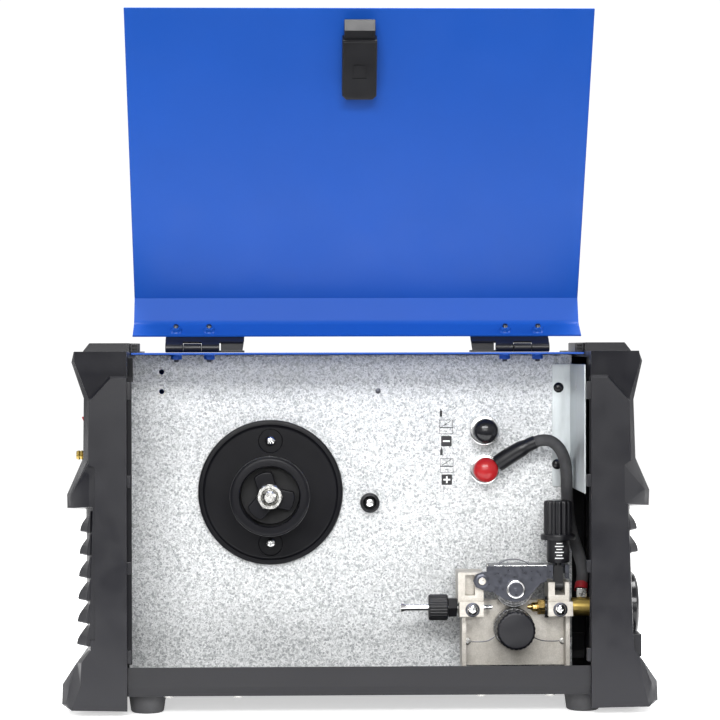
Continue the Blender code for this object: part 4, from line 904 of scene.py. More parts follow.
def step_cutter(side, diagonal, mirror_depth):
    """Sinks the corner above the slanting edge. Its floor leans in downwards, and its edge is chamfered."""
    (x0, z0), (x1, z1) = diagonal
    sections = []
    for depth, drop in ((-0.01, STEP_CHAMFER * 4), (0.0, STEP_CHAMFER), (STEP_DEPTH, 0.0)):
        cut_line = [(0.1600, z0 - drop), (x0 - drop * 0.4, z0 - drop)]
        cut_line += [(x1, z1 - drop * 1.3), (0.2300, z1 - drop * 1.3)]
        sections.append((depth, outwards(cut_line + [(0.2300, 0.2900), (0.1600, 0.2900)], side)))
    shape = loft(sections)
    for vertex in shape.verts:
        if abs(vertex.co.y - NEAR - STEP_DEPTH) < 1e-6:
            vertex.co.y = NEAR + 0.0006 + (PAD_FOOT - vertex.co.z) * STEP_SLOPE
    if mirror_depth:
        for vertex in shape.verts:
            vertex.co.y = 2 * NEAR + mirror_depth - vertex.co.y
        bmesh.ops.reverse_faces(shape, faces=shape.faces)
    return shape


def louvres(side, count, first, tip_x, step_x):
    """Rows of convex teeth whose ends slant back towards the side faces."""
    width = PANEL_DEPTH
    shapes = []
    for k in range(count):
        tip_z = first - k * LOUVRE_PITCH
        tip = tip_x + k * step_x
        tooth = [(tip - u, tip_z + v) for u, v in LOUVRE_PROFILE]
        full = [(0.1940, tip_z)] + tooth + [(0.1930, tip_z + 0.0156)]
        small = [(0.1930 + (x - 0.1930) * 0.30, z) for x, z in full]
        sections = [(0.0030, small), (0.0130, full), (width - 0.0130, full), (width - 0.0030, small)]
        shapes.append(loft([(depth, outwards(outline, side)) for depth, outline in sections]))
    return shapes


def top_pad(side, reach):
    """The raised pad on an end panel, with a slotted block at its hinge end."""
    near, far = 0.0500, PANEL_DEPTH - 0.0500
    chamfer = 0.0046
    outline = [
        (0.1684, 0.2600, 0), (reach, 0.2600, 0), (reach, 0.2624, 0.0008),
        (reach - chamfer, 0.2682, 0.0008), (0.1684, 0.2682, 0.0006),
    ]
    main = plate_xz(outwards(soften(outline, 0), side), near, far)
    ends = sorted((side * 0.1612, side * 0.1678))
    block_end = slab(ends[0], near + 0.0006, 0.2612, ends[1], near + 0.0130, 0.2680, 0.0006)
    slots = []
    for foot in (0.2628, 0.2652):
        left, right = ends[0] + 0.0014, ends[1] - 0.0014
        slots.append(slab(left, near - 0.01, foot, right, near + 0.0050, foot + 0.0013, 0))
    for k in range(3):
        x = ends[0] + 0.0012 + k * 0.0019
        slots.append(slab(x, near + 0.0045, 0.2672, x + 0.0008, near + 0.0110, 0.2700, 0))
    return joined(main, carve(block_end, *slots))


def end_panel(node, side, corners, diagonal, louvre_rows, pad_reach, inner_edge, extra_cuts, extras):
    """A moulded end panel: lofted shell, hollow inside, with sunk corners, louvres and clip tabs."""
    half = [(depth, [pair[k] for pair in corners]) for k, depth in enumerate(FACE_DEPTHS)]
    far_half = [(PANEL_DEPTH - depth, outline) for depth, outline in reversed(half)]
    shell = loft([(depth, outwards(outline, side)) for depth, outline in half + far_half])
    cuts = [
        plate_xz(outwards(SHALLOW_HOLLOW, side), 0.0040, PANEL_DEPTH - 0.0040),
        plate_xz(outwards(HOLLOW, side), 0.0160, PANEL_DEPTH - 0.0160),
        step_cutter(side, diagonal, 0),
        step_cutter(side, diagonal, PANEL_DEPTH),
    ]
    if side < 0:
        cuts.append(slab(-0.2300, -0.0020, 0.0550, -0.1899, 0.0022, 0.1794, 0))
    for k in range(louvre_rows[0]):
        ends = sorted((side * 0.1850, side * 0.2000))
        foot = louvre_rows[1] - k * LOUVRE_PITCH
        cuts.append(slab(ends[0], 0.0260, foot - 0.0034, ends[1], PANEL_DEPTH - 0.0260, foot - 0.0003, 0))
    shell = carve(shell, *cuts, *extra_cuts)
    tabs = []
    for foot, top in CLIP_TABS:
        ends = sorted((side * 0.1640, side * 0.1720))
        tabs.append(slab(ends[0], 0.0022, foot, ends[1], 0.0065, top, 0.0006))
    # Painted shade: the strip beside the wall and the plate above it take the darker, duller hub plastic, for the
    # shade and dark reflection in the gap by the wall.
    ends = sorted((side * inner_edge, side * 0.1720))
    strip = slab(ends[0], 0.0036, 0.0370, ends[1], 0.0052, 0.2435, 0.0003, 1)
    above = slab(ends[0], 0.0185, 0.2400, ends[1], 0.0200, 0.2575, 0.0003, 1)
    piece(f"{node}_inner_shade_strip", joined(strip, above), "hub_plastic")
    obj = piece(f"{node}_shell", shell, "dark_plastic", "chassis", [node], 26)
    rim = obj.modifiers.new("edges", "BEVEL")
    rim.width = 0.0006
    rim.segments = 2
    rim.limit_method = "ANGLE"
    rim.angle_limit = math.radians(24)
    obj.modifiers.move(1, 0)
    piece(f"{node}_louvres", joined(*louvres(side, *louvre_rows)), "dark_plastic", angle=24)
    piece(f"{node}_pad", top_pad(side, pad_reach), "dark_plastic", angle=24)
    piece(f"{node}_clip_tabs", joined(*tabs, *extras), "dark_plastic")


def end_panels():
    c = centre("torch_collar")
    earth = centre("earth_socket")
    gas = centre("gas_inlet")
    gland = centre("mains_gland")
    reach = 0.0400
    cuts = [
        slab(0.1942, 0.0280, 0.1852, 0.2300, 0.1780, 0.2270, 0.0012),
        lathe([(0, reach), (0.0125, reach), (0.0125, 0), (0, 0)], facing(X, (0.180, c.y, c.z)), 64),
        lathe([(0, reach), (0.0105, reach), (0.0105, 0), (0, 0)], facing(X, (0.180, earth.y, earth.z)), 64),
    ]
    boss = slab(0.1955, 0.0150, 0.0395, 0.2054, 0.0340, 0.0560, 0.0008)
    end_panel(
        "front_panel", 1, FRONT_CORNERS, ((0.1797, 0.2446), (0.1948, 0.2278)),
        (2, 0.1322, 0.2017, 0.0008), 0.2026, 0.1662, cuts, [boss],
    )
    cuts = [
        lathe([(0, reach), (0.0048, reach), (0.0048, 0), (0, 0)], facing(-X, (-0.180, gas.y, gas.z)), 48),
        lathe([(0, reach), (0.0085, reach), (0.0085, 0), (0, 0)], facing(-X, (-0.180, gland.y, gland.z)), 48),
        slab(-0.2100, 0.0520, 0.1930, -0.1800, 0.0780, 0.2190, 0),
    ]
    inner = slab(-0.1695, 0.0035, 0.0360, -0.1675, 0.0300, 0.2430, 0.0002, 1)
    end_panel(
        "rear_panel", -1, REAR_CORNERS, ((0.1792, 0.2444), (0.1941, 0.2281)),
        (6, 0.1320, 0.2015, 0.0005), 0.2024, 0.1636, cuts, [inner],
    )


WALL_TOP = 0.2590
WALL_BOTTOM = 0.0158
WALL_RIGHT = 0.1641
FLANGE_NEAR = 0.0085


def bay_wall():
    """The galvanised wall with its front flange, stiffening plate and foot flange."""
    wall_depth = 0.0980
    hub_c = centre("hub_barrel")
    drive = centre("drive_roll")
    outline = [(-0.1720, WALL_BOTTOM), (WALL_RIGHT, WALL_BOTTOM), (WALL_RIGHT, WALL_TOP), (-0.1720, WALL_TOP)]
    holes = [circle(hub_c.x, hub_c.z, 0.0054), circle(drive.x, drive.z, 0.0080)]
    for name in ("negative", "positive"):
        post = centre(f"terminal_{name}_knob")
        holes.append(circle(post.x, post.z, 0.0054))
    holes += [circle(-0.1474, z, 0.0020, 20) for z in (0.2465, 0.2316)]
    middle = facing(-Y, (0, NEAR + wall_depth + SHEET / 2, 0))
    sheet = flat([outline] + holes, SHEET, middle, 0, 0)
    foot = slab(-0.1600, wall_depth, WALL_BOTTOM, 0.1550, 0.1120, WALL_BOTTOM + SHEET, 0.0002, 1)
    head = slab(-0.1560, wall_depth, WALL_TOP - SHEET, 0.1560, 0.1100, WALL_TOP, 0.0002, 1)
    piece("bay_wall", joined(sheet, foot, head), "galvanised", "chassis", ["divider_wall"])
    flange = slab(WALL_RIGHT - SHEET, FLANGE_NEAR, 0.1585, WALL_RIGHT, wall_depth, 0.2520, 0.0003, 1)
    lap = flat(
        [soften(rectangle(0.1492, 0.1585, WALL_RIGHT - 0.0002, 0.2520), 0.0008)],
        0.0009,
        facing(-Y, (0, NEAR + wall_depth - 0.00045, 0)),
        0.0002,
    )
    piece("wall_side_flange", joined(flange, lap), "galvanised_smooth")
    sheath = []
    for x, z in ((0.1541, 0.2340), (0.1529, 0.1757)):
        profile = [(0, 0.0021), (0.0018, 0.0020), (0.0032, 0.0014), (0.0039, 0.0004), (0.0039, 0), (0, 0)]
        sheath.append(lathe(profile, facing(-Y, (x, NEAR + wall_depth - 0.0009, z)), 40))
    piece("wall_plugs", joined(*sheath), "black_gloss")
    # A thin zinc disc on the flange where a faint circle shows.
    place = facing(-X, (WALL_RIGHT - SHEET, NEAR + 0.060, 0.2357))
    disc = lathe([(0, 0.0002), (0.0034, 0.0002), (0.0036, 0), (0, 0)], place, 36)
    piece("flange_circle_mark", disc, "galvanised")


def casing():
    end_panels()
    tray_low, tray_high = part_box("base_tray")
    rim = tray_high.z
    crease = tray_low.z + 0.0067
    near, far = tray_low.y, tray_high.y
    section = [(near, rim), (near, crease, 0.0006), (near + 0.0016, tray_low.z, 0.0010)]
    section += [(far - 0.0016, tray_low.z, 0.0010), (far, crease, 0.0006), (far, rim)]
    tray = bent(section, tray_low.x, tray_high.x, SHEET, 0.001)
    piece("tray_skin", tray, "dark_steel", "chassis", ["base_tray"], 8)
    for k in range(1, 5):
        node = f"foot_{k}"
        low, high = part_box(node)
        r = (high.x - low.x) / 2
        h = high.z - low.z
        e = 0.0014
        profile = [(0, h), (r - 0.0005, h), (r, h - 0.0006), (r * 0.885, e), (r * 0.885 - e * 0.4, e * 0.35)]
        profile += [(r * 0.885 - e, 0), (0.0048, 0), (0.0045, 0.0004), (0.0045, 0.006), (0, 0.006)]
        c = centre(node)
        place = Matrix.Translation((c.x, c.y, low.z))
        piece(f"foot_pad_{k}", lathe(profile, place, 48), "rubber", "chassis", [node])
    screws = []
    for x in (-0.1380, -0.0880, 0.0880, 0.1380):
        place = facing(-Z, (x, NEAR + 0.0140, tray_low.z))
        screws.append(cross_screw(place, 0.0042, 0.0024))
    piece("tray_screws", joined(*screws), "zinc")
    bay_wall()


# ---------------------------------------------------------------- spool hub


HALF_ARM = (
    (0.00, 0.0185), (0.20, 0.0184), (0.36, 0.0180), (0.42, 0.0172), (0.60, 0.0124), (0.82, 0.0097),
)


def wing_outline():
    """Three broad arms with a round hollow between each two."""
    outline = []
    for arm in range(3):
        middle = math.radians(108 + 120 * arm)
        arm_points = [(middle - turn, radius) for turn, radius in reversed(HALF_ARM[1:])]
        arm_points += [(middle + turn, radius) for turn, radius in HALF_ARM]
        arm_points.append((middle + math.pi / 3, 0.0090))
        outline += [(radius * math.cos(turn), radius * math.sin(turn)) for turn, radius in arm_points]
    return soften(outline, 0.0012, steps=2)


def hub_disc():
    hub_centre = centre("hub_barrel")
    disc_low, disc_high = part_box("hub_base")
    disc_r = (disc_high.x - disc_low.x) / 2
    foot = Vector((hub_centre.x, disc_high.y, hub_centre.z))
    face = facing(-Y, foot)
    rim = 0.0056
    profile = [
        (0.0160, 0.0120), (0.0168, 0.0110), (0.0172, 0.0048), (disc_r - 0.0058, 0.0046),
        (disc_r - 0.0050, 0.0046), (disc_r - 0.0040, 0.0051), (disc_r - 0.0036, rim),
        (disc_r - 0.0014, rim), (disc_r - 0.0004, rim - 0.0005), (disc_r, rim - 0.0016),
        (disc_r, 0.0000), (0.0066, 0.0000), (0.0066, 0.0120),
    ]
    disc = lathe(profile, face, 144, closed=True)
    dimples, screws = [], []
    for sign in (-1, 1):
        spot = face @ Matrix.Translation((0, sign * 0.0389, 0))
        hollow = [(0, 0.02), (0.0096, 0.02), (0.0094, 0.0034), (0.0086, 0.0026), (0, 0.0026)]
        dimples.append(lathe(hollow, spot, 56))
        screws.append(cross_screw(spot @ Matrix.Translation((0, 0, 0.0026)), 0.00415, 0.0026))
    piece("hub_disc", carve(disc, *dimples), "hub_plastic", "chassis", ["hub_base"], 30)
    piece("hub_disc_screws", joined(*screws), "chrome")


def spool_drum():
    hub_centre = centre("hub_barrel")
    low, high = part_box("hub_barrel")
    length = high.y - low.y
    r = (high.x - low.x) / 2
    profile = [(r, length), (r, 0.0012), (r - 0.0008, 0), (0.0170, 0), (0.0170, 0.0074), (0.0054, 0.0074)]
    profile += [(0.0054, 0.0284), (0.0215, 0.0284), (0.0220, 0.0290), (0.0220, length)]
    place = facing(-Y, (hub_centre.x, high.y, hub_centre.z))
    barrel = lathe(profile, place, 96, closed=True)
    lugs = []
    for k in range(3):
        lug = block((-0.0030, r - 0.0006, 0.004), (0.0030, r + 0.0002, 0.030), 0.0003, 1)
        lugs.append(placed(lug, place @ Matrix.Rotation(TURN * k / 3 + 0.4, 4, "Z")))
    piece("spool_drum", joined(barrel, *lugs), "black_plastic", "spool_barrel", ["hub_barrel"])
    low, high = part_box("hub_ring")
    r = (high.x - low.x) / 2
    h = high.y - low.y
    profile = [
        (r - 0.0030, h), (r - 0.0016, h - 0.0003), (r - 0.0005, h - 0.0011), (r, h - 0.0024),
        (r, 0.0008), (r - 0.0006, 0.0000), (0.0254, 0.0000), (0.0254, 0.0079), (0.0220, 0.0079),
        (0.0220, h - 0.0012), (0.0224, h - 0.0004), (0.0230, h),
    ]
    ring = lathe(profile, facing(-Y, (hub_centre.x, high.y, hub_centre.z)), 144, closed=True)
    piece("spool_ring_cap", ring, "hub_plastic", "spool_ring", ["hub_ring"], 30)


def brake():
    """The hub's three-armed brake piece, its hex nut, stud and washer."""
    hub_centre = centre("hub_barrel")
    low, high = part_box("hub_wing")
    place = facing(-Y, (hub_centre.x, (low.y + high.y) / 2, hub_centre.z))
    loops = [wing_outline(), circle(0, 0, 0.0050, 32)]
    wing = flat(loops, high.y - low.y, place, 0.0011, 3)
    piece("brake_wing", wing, "hub_plastic", "chassis", ["hub_wing"])
    low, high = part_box("hub_nut")
    nut_place = facing(-Y, (hub_centre.x, high.y, hub_centre.z))
    height = high.y - low.y
    nut = hexagon(nut_place, 0.0170, height)
    bore = [(0, 0.02), (0.0066, 0.02), (0.0066, height - 0.0002)]
    bore += [(0.0049, height - 0.0016), (0.0049, -0.01), (0, -0.01)]
    piece("brake_hex_nut", carve(nut, lathe(bore, nut_place, 40)), "zinc", "brake_nut", ["hub_nut"], 24)
    low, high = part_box("hub_shaft")
    place = facing(-Y, (hub_centre.x, high.y, hub_centre.z))
    stud = thread(place, 0.00465, high.y - low.y, 0.0015)
    piece("hub_stud", joined(stud, hexagon(place, 0.0160, 0.0052)), "zinc", "chassis", ["hub_shaft"])
    washer_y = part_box("hub_nut")[1].y
    washer = lathe(
        [(0.0088, 0.00025), (0.0088, 0), (0.0050, 0), (0.0050, 0.00025)],
        facing(-Y, (hub_centre.x, washer_y + 0.00028, hub_centre.z)),
        40,
        closed=True,
    )
    piece("brake_washer", washer, "zinc")


def hub():
    hub_disc()
    spool_drum()
    brake()


def wall_fittings():
    post = centre("wall_post")
    face = facing(-Y, (post.x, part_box("wall_post")[1].y, post.z))
    profile = [(0.0062, 0.0080), (0.0071, 0.0075), (0.0074, 0.0066), (0.0074, 0.0000), (0, 0)]
    profile += [(0, 0.0030), (0.0052, 0.0030), (0.0052, 0.0076), (0.0056, 0.0080)]
    piece("wall_boss", lathe(profile, face, 48, closed=True), "black_plastic", "chassis", ["wall_post"])
    place = face @ Matrix.Translation((0, 0, 0.0031))
    piece("wall_boss_screw", cross_screw(place, 0.0048, 0.0034), "chrome")
    place = facing(-Y, at(0.0167, 0.0980, 0.2316))
    stud = lathe([(0, 0.0012), (0.0018, 0.0010), (0.0021, 0), (0, 0)], place, 24)
    piece("wall_stud", stud, "blued_steel")


# ---------------------------------------------------------------- terminals, labels and lead


def terminals():
    for name, look in (("negative", "black_gloss"), ("positive", "red_plastic")):
        low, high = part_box(f"terminal_{name}")
        c = centre(f"terminal_{name}_knob")
        post = facing(-Y, (c.x, high.y, c.z))
        r = (high.x - low.x) / 2
        top = high.y - low.y
        ring_top = 0.0222
        profile = [
            (0, top), (0.0036, top), (0.0040, top - 0.0005), (0.0040, ring_top), (r - 0.0012, ring_top),
            (r - 0.0003, ring_top - 0.0004), (r, ring_top - 0.0012), (r, 0.0143), (0.0047, 0.0143),
            (0.0047, 0), (0, 0),
        ]
        ring = lathe(profile, post, 72)
        piece(f"terminal_{name}_ring", ring, "chrome", "chassis", [f"terminal_{name}"])
        low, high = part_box(f"terminal_{name}_knob")
        r = (high.x - low.x) / 2
        h = high.y - low.y
        dome = []
        for k in range(11):
            turn = math.pi / 2 * k / 10
            dome.append((r * 0.97 * math.sin(turn), h * 0.62 + h * 0.38 * math.cos(turn)))
        profile = dome + [(r, h * 0.55), (r, 0.0012), (r - 0.0005, 0.0004), (r - 0.0010, 0)]
        profile += [(0.0043, 0), (0.0043, 0.0124), (0, 0.0124)]
        knob = lathe(profile, facing(-Y, (c.x, high.y, c.z)), 72)
        piece(f"terminal_{name}_cap", knob, look, f"{name}_knob", [f"terminal_{name}_knob"])


# Route of the polarity lead: x, depth and z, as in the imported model.
LEAD_ROUTE = (
    (0.1071, 0.0820, 0.1775), (0.1147, 0.0806, 0.1826), (0.1248, 0.0784, 0.1888),
    (0.1333, 0.0766, 0.1930), (0.1400, 0.0756, 0.1948), (0.1466, 0.0752, 0.1936),
    (0.1526, 0.0750, 0.1880), (0.1562, 0.0752, 0.1796), (0.1576, 0.0756, 0.1690),
    (0.1579, 0.0764, 0.1584), (0.1586, 0.0785, 0.1480), (0.1600, 0.0812, 0.1360),
    (0.1628, 0.0825, 0.1230), (0.1664, 0.0812, 0.1115), (0.1690, 0.0775, 0.1015),
    (0.1692, 0.0730, 0.0935), (0.1680, 0.0690, 0.0875), (0.1670, 0.0660, 0.0830),
)
LEAD_R = 0.0045


def lead():
    path = smooth_path([at(*p) for p in LEAD_ROUTE], 6)
    cable = tube(path, LEAD_R, 5)
    boot_path = [path[0] - (path[1] - path[0]).normalized() * 0.0012] + path[:20]

    def boot_swell(share):
        if share < 0.62:
            return 1.40 + 0.03 * math.sin(share * 7)
        return 1.42 - 0.24 * min(1, (share - 0.62) / 0.12) - 0.04 * share

    boot = tube(boot_path, LEAD_R, 6, boot_swell)
    post = centre("terminal_positive_knob")
    start = at(*LEAD_ROUTE[0])
    along = Vector((start.x - post.x, start.z - post.z)).normalized()
    heading = math.atan2(along.y, along.x)
    outline = []
    for k in range(25):
        turn = heading + math.radians(50 + k * 260 / 24)
        outline.append((post.x + 0.0072 * math.cos(turn), post.z + 0.0072 * math.sin(turn)))
    across = Vector((-along.y, along.x)) * 0.0045
    tail = Vector((start.x, start.z)) + along * 0.0030
    outline += [tuple(tail - across), tuple(tail + across)]
    middle = NEAR + 0.0888
    tongue = flat([outline, circle(post.x, post.z, 0.0043)], 0.0014, facing(-Y, (0, middle, 0)), 0.0002)
    piece("lead_cable", cable, "rubber", "chassis", ["polarity_lead"])
    piece("lead_boot", boot, "black_plastic")
    piece("lead_ring_lug", tongue, "zinc")
    piece("lead_red_sleeve", tube(path[-7:], LEAD_R, 5, lambda share: 1.10), "red_rubber")
    piece("lead_foot_lug", slab(0.1632, 0.0605, 0.0780, 0.1708, 0.0640, 0.0850, 0.0004, 1), "zinc")


def labels():
    """Plus, minus and gas bottle signs beside the terminals. They carry no words."""
    wall_y = NEAR + 0.0980 - 0.00006
    dark, pale = [], []

    def mark(loops, group, lift=0.0):
        group.append(flat(loops, 0.00008, facing(-Y, (0, wall_y - lift, 0)), 0, 0))

    for node, shift in (("terminal_negative_knob", 0.0), ("terminal_positive_knob", 0.0003)):
        c = centre(node)
        left = c.x - 0.0338 + shift
        base = c.z
        square = rectangle(left + 0.0012, base - 0.0122, left + 0.0092, base - 0.0042)
        mark([soften(square, 0.0007)], dark)
        u, v = left + 0.0052, base - 0.0082
        mark([rectangle(u - 0.0026, v - 0.0006, u + 0.0026, v + 0.0006)], pale, 0.00006)
        if "positive" in node:
            mark([rectangle(u - 0.0006, v - 0.0026, u + 0.0006, v + 0.0026)], pale, 0.00012)
        low = base - 0.0028
        for row, tall in ((0, 0.0048), (1, 0.0060)):
            outer = rectangle(left, low, left + 0.0102, low + tall)
            inner = rectangle(left + 0.0004, low + 0.0004, left + 0.0098, low + tall - 0.0004)
            mark([outer, inner], dark)
            mark([rectangle(left + 0.0040, low + 0.0020, left + 0.0060, low + 0.0024)], dark)
            if row:
                rise = [(left + 0.0012, low + 0.0008), (left + 0.0020, low + 0.0008)]
                mark([rise + [(left + 0.0090, low + 0.0052), (left + 0.0082, low + 0.0052)]], dark)
            low += tall
        foot = base + 0.0104
        bottle = [(0.0001, 0.0), (0.0021, 0.0), (0.0021, 0.0040), (0.0015, 0.0050), (0.0015, 0.0060)]
        bottle += [(0.0007, 0.0060), (0.0007, 0.0050), (0.0001, 0.0040)]
        mark([[(left + du, foot + dv) for du, dv in bottle]], dark)
    piece("wall_signs_dark", joined(*dark), "print_black")
    piece("wall_signs_pale", joined(*pale), "print_white")


# ---------------------------------------------------------------- wire feeder


def knurl(count, depth):
    """Radius scale of a fluted grip."""
    return lambda turn, height: 1 - depth * (0.5 + 0.5 * math.cos(count * turn)) ** 2


def wire_inlet():
    wire = centre("inlet_tube")
    low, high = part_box("inlet_tube")
    profile = [
        (0.0012, 0.0680), (0.0016, 0.0678), (0.0016, 0.0640), (0.0025, 0.0600), (0.0025, 0.0060),
        (0.0027, 0.0030), (0.0036, 0.0006), (0.0034, 0.0000), (0.0024, 0.0002), (0.0012, 0.0030),
    ]
    inlet = lathe(profile, facing(X, (low.x, wire.y, wire.z)), 48, closed=True)
    piece("wire_inlet", inlet, "chrome", "chassis", ["inlet_tube"])
    low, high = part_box("inlet_collar")
    r = (high.z - low.z) / 2
    start = facing(X, (low.x, wire.y, wire.z))
    profile = [(0.0088, 0.0143), (r - 0.0004, 0.0139), (r, 0.0132), (r, 0.0012), (r - 0.0005, 0.0004)]
    profile += [(0.0088, 0.0), (0.0028, 0.0), (0.0028, 0.0143)]
    grip = lathe(profile, start, 144, closed=True, lobes=knurl(24, 0.05))
    hexagonal = hexagon(start @ Matrix.Translation((0, 0, 0.0147)), 0.0134, 0.0063)
    piece("wire_inlet_collar", joined(grip, hexagonal), "black_plastic", "chassis", ["inlet_collar"])


def wire_outlet():
    wire = centre("inlet_tube")
    low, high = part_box("outlet_guide")
    start = facing(X, (low.x, wire.y, wire.z))
    profile = [(0, 0.0322), (0.0018, 0.0322), (0.0018, 0.0042), (0.0022, 0.0040), (0.0017, 0.0002)]
    tip = lathe(profile + [(0.0010, 0), (0, 0)], start, 32)
    nut = hexagon(start @ Matrix.Translation((0, 0, 0.0076)), 0.0106, 0.0052)
    profile = [(0, 0.0078), (0.0032, 0.0078), (0.0036, 0.0070), (0.0036, 0.0040)]
    collar = lathe(profile + [(0.0026, 0.0028), (0, 0.0028)], start, 40)
    neck = lathe([(0, 0.0322), (0.0052, 0.0322), (0.0052, 0.0139), (0, 0.0139)], start, 40)
    piece("outlet_nozzle", joined(tip, collar, nut, neck), "brass", "chassis", ["outlet_guide"])
    profile = [(0.0080, 0.0030), (0.0082, 0.0025), (0.0082, 0.0005), (0.0080, 0), (0.0054, 0)]
    place = facing(X, (0.1392, wire.y, wire.z))
    ring = lathe(profile + [(0.0054, 0.0030)], place, 48, closed=True)
    piece("outlet_insulator", ring, "black_gloss")


def pressure_roll():
    refine("pressure_arm", 0.0004)
    roller = centre("pressure_roller")
    low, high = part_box("pressure_roller")
    r = (high.x - low.x) / 2
    groove = [(0.0043, 0.0088), (r - 0.0034, 0.0088), (r - 0.0030, 0.0094), (r - 0.0018, 0.0094)]
    groove += [(r - 0.0014, 0.0100), (r - 0.0004, 0.0100), (r, 0.0095), (r, 0.0056), (r - 0.0008, 0.0050)]
    groove += [(r, 0.0044), (r, 0.0005), (r - 0.0005, 0), (0.0043, 0)]
    wheel = lathe(groove, facing(-Y, (roller.x, high.y, roller.z)), 96, closed=True)
    piece("pressure_wheel", wheel, "steel", "roller", ["pressure_roller"])
    low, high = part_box("roller_axle")
    c = centre("roller_axle")
    h = high.y - low.y
    profile = [(0, h - 0.0006), (0.0056, h - 0.0006), (0.0058, h), (0.0065, h - 0.0001), (0.0070, h - 0.0009)]
    profile.append((0.0069, h - 0.0032))
    profile += [(0.0040, h - 0.0032), (0.0040, 0), (0, 0)]
    axle = lathe(profile, facing(-Y, (c.x, high.y, c.z)), 48)
    piece("roller_pin", axle, "chrome", "arm", ["roller_axle"], 20)
    face = [(0, 0.0002), (0.0012, 0.0002), (0.0016, 0.00005), (0.0046, 0.00015)]
    face += [(0.0052, 0.0001), (0.0054, 0), (0, 0)]
    cap = lathe(face, facing(-Y, (c.x, low.y + 0.0006, c.z)), 48)
    piece("roller_pin_face", cap, "blued_steel", "arm")


def drive_roll():
    low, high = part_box("drive_roll")
    r = (high.x - low.x) / 2
    c = centre("drive_roll")
    profile = [(0, 0.0585), (0.0038, 0.0585), (0.0040, 0.0582), (0.0040, 0.0510), (r - 0.0005, 0.0510)]
    profile += [(r, 0.0505), (r, 0.0466), (r - 0.0008, 0.0460), (r, 0.0454), (r, 0.0415)]
    profile += [(r - 0.0005, 0.0410), (0.0040, 0.0410), (0.0040, 0), (0, 0)]
    roll = lathe(profile, facing(-Y, (c.x, high.y, c.z)), 96)
    piece("drive_wheel", roll, "steel", "drive", ["drive_roll"])
    low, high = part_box("drive_knob")
    r = (high.x - low.x) / 2
    h = high.y - low.y
    profile = [(0, h), (r - 0.0022, h), (r - 0.0009, h - 0.0005), (r, h - 0.0018), (r, 0.0010)]
    profile += [(r - 0.0006, 0), (0.0043, 0), (0.0043, 0.0040), (0, 0.0040)]

    def flutes(turn, height):
        return 1 - 0.030 * (0.5 + 0.5 * math.cos(26 * turn)) ** 2 if 0.0005 < height < h - 0.0003 else 1

    knob = lathe(profile, facing(-Y, (c.x, high.y, c.z)), 208, lobes=flutes)
    piece("drive_clamp_knob", knob, "dark_plastic", "drive", ["drive_knob"])


def casting_details():
    """Clamp screws, pins with their wires and a mould seam on the feeder's casting."""
    screws, rings = [], []
    for x, z in ((0.0845, 0.0707), (0.1495, 0.0706)):
        place = facing(-Y, at(x, 0.0460, z))
        screws.append(cross_screw(place @ Matrix.Translation((0, 0, 0.0006)), 0.0042, 0.0030))
        ring = [(0.0053, 0.0002), (0.0053, 0.0007), (0.0048, 0.0010), (0.0040, 0.0010), (0.0040, 0.0002)]
        rings.append(lathe(ring, place, 40, closed=True))
    piece("clamp_screws", joined(*screws), "chrome")
    piece("clamp_screw_washers", joined(*rings), "blued_steel")
    pins = []
    for x in (0.0824, 0.1541):
        spot = facing(-Y, at(x, 0.0720, 0.0444))
        pins.append(lathe([(0, 0.0030), (0.0012, 0.0030), (0.0016, 0.0025), (0.0016, 0), (0, 0)], spot, 24))
        pins.append(lathe([(0, 0.0012), (0.0024, 0.0010), (0.0028, 0.0004), (0.0028, 0), (0, 0)], spot, 24))
    piece("casting_pins", joined(*pins), "zinc")
    wires = []
    for route in (
        ((0.0830, 0.0441), (0.0900, 0.0438), (0.0968, 0.0443), (0.1010, 0.0462), (0.1040, 0.0484)),
        ((0.1536, 0.0444), (0.1460, 0.0441), (0.1392, 0.0445), (0.1340, 0.0462), (0.1300, 0.0490)),
    ):
        points = smooth_path([at(x, 0.0722, z) for x, z in route], 5)
        wires.append(tube(points, 0.00045, 2))
    piece("casting_wires", joined(*wires), "blued_steel")
    seam = slab(0.1166, 0.0736, 0.0200, 0.1170, 0.0746, 0.0400, 0.0001, 1)
    piece("casting_seam", seam, "cast_alloy")


def arm_details():
    """The arm's pivot screw, zinc strips along its upper edges as a painted highlight, and bowed leaf spring."""
    place = facing(-Y, at(0.0915, 0.0454, 0.0920))
    pivot = cross_screw(place, 0.0031, 0.0020)
    profile = [(0.0050, 0.0001), (0.0050, 0.0006), (0.0040, 0.0009), (0.0030, 0.0009), (0.0030, 0.0001)]
    piece("arm_pivot_head", pivot, "chrome", "arm")
    piece("arm_pivot_washer", lathe(profile, place, 40, closed=True), "blued_steel", "arm")
    # Painted highlight: thin bright zinc strips on the dark arm's upper edges, where light catches them.
    edges = [
        slab(0.0952, 0.0452, 0.1026, 0.0962, 0.0474, 0.1048, 0.0002, 1),
        slab(0.1000, 0.0452, 0.1028, 0.1394, 0.0470, 0.1034, 0.0002, 1),
        slab(0.1382, 0.0553, 0.1028, 0.1418, 0.0570, 0.1034, 0.0002, 1),
    ]
    piece("arm_edge_highlights", joined(*edges), "zinc", "arm")
    leaves = []
    for rise, foot in ((0.0058, 0.1016), (-0.0009, 0.1022)):
        section = []
        for k in range(21):
            turn = math.pi * k / 20
            section.append((0.1150 - 0.0118 * math.cos(turn), foot + rise * math.sin(turn)))
        outline = section + offset_line(section, 0.0005)[::-1]
        leaves.append(flat([outline], 0.0080, facing(-Y, (0, NEAR + 0.0500, 0)), 0.0001, 1))
    piece("arm_leaf_spring", joined(*leaves), "blued_steel", "arm")


def feeder():
    refine("feeder_plate", 0.0006)
    wire_inlet()
    wire_outlet()
    pressure_roll()
    drive_roll()
    casting_details()
    arm_details()


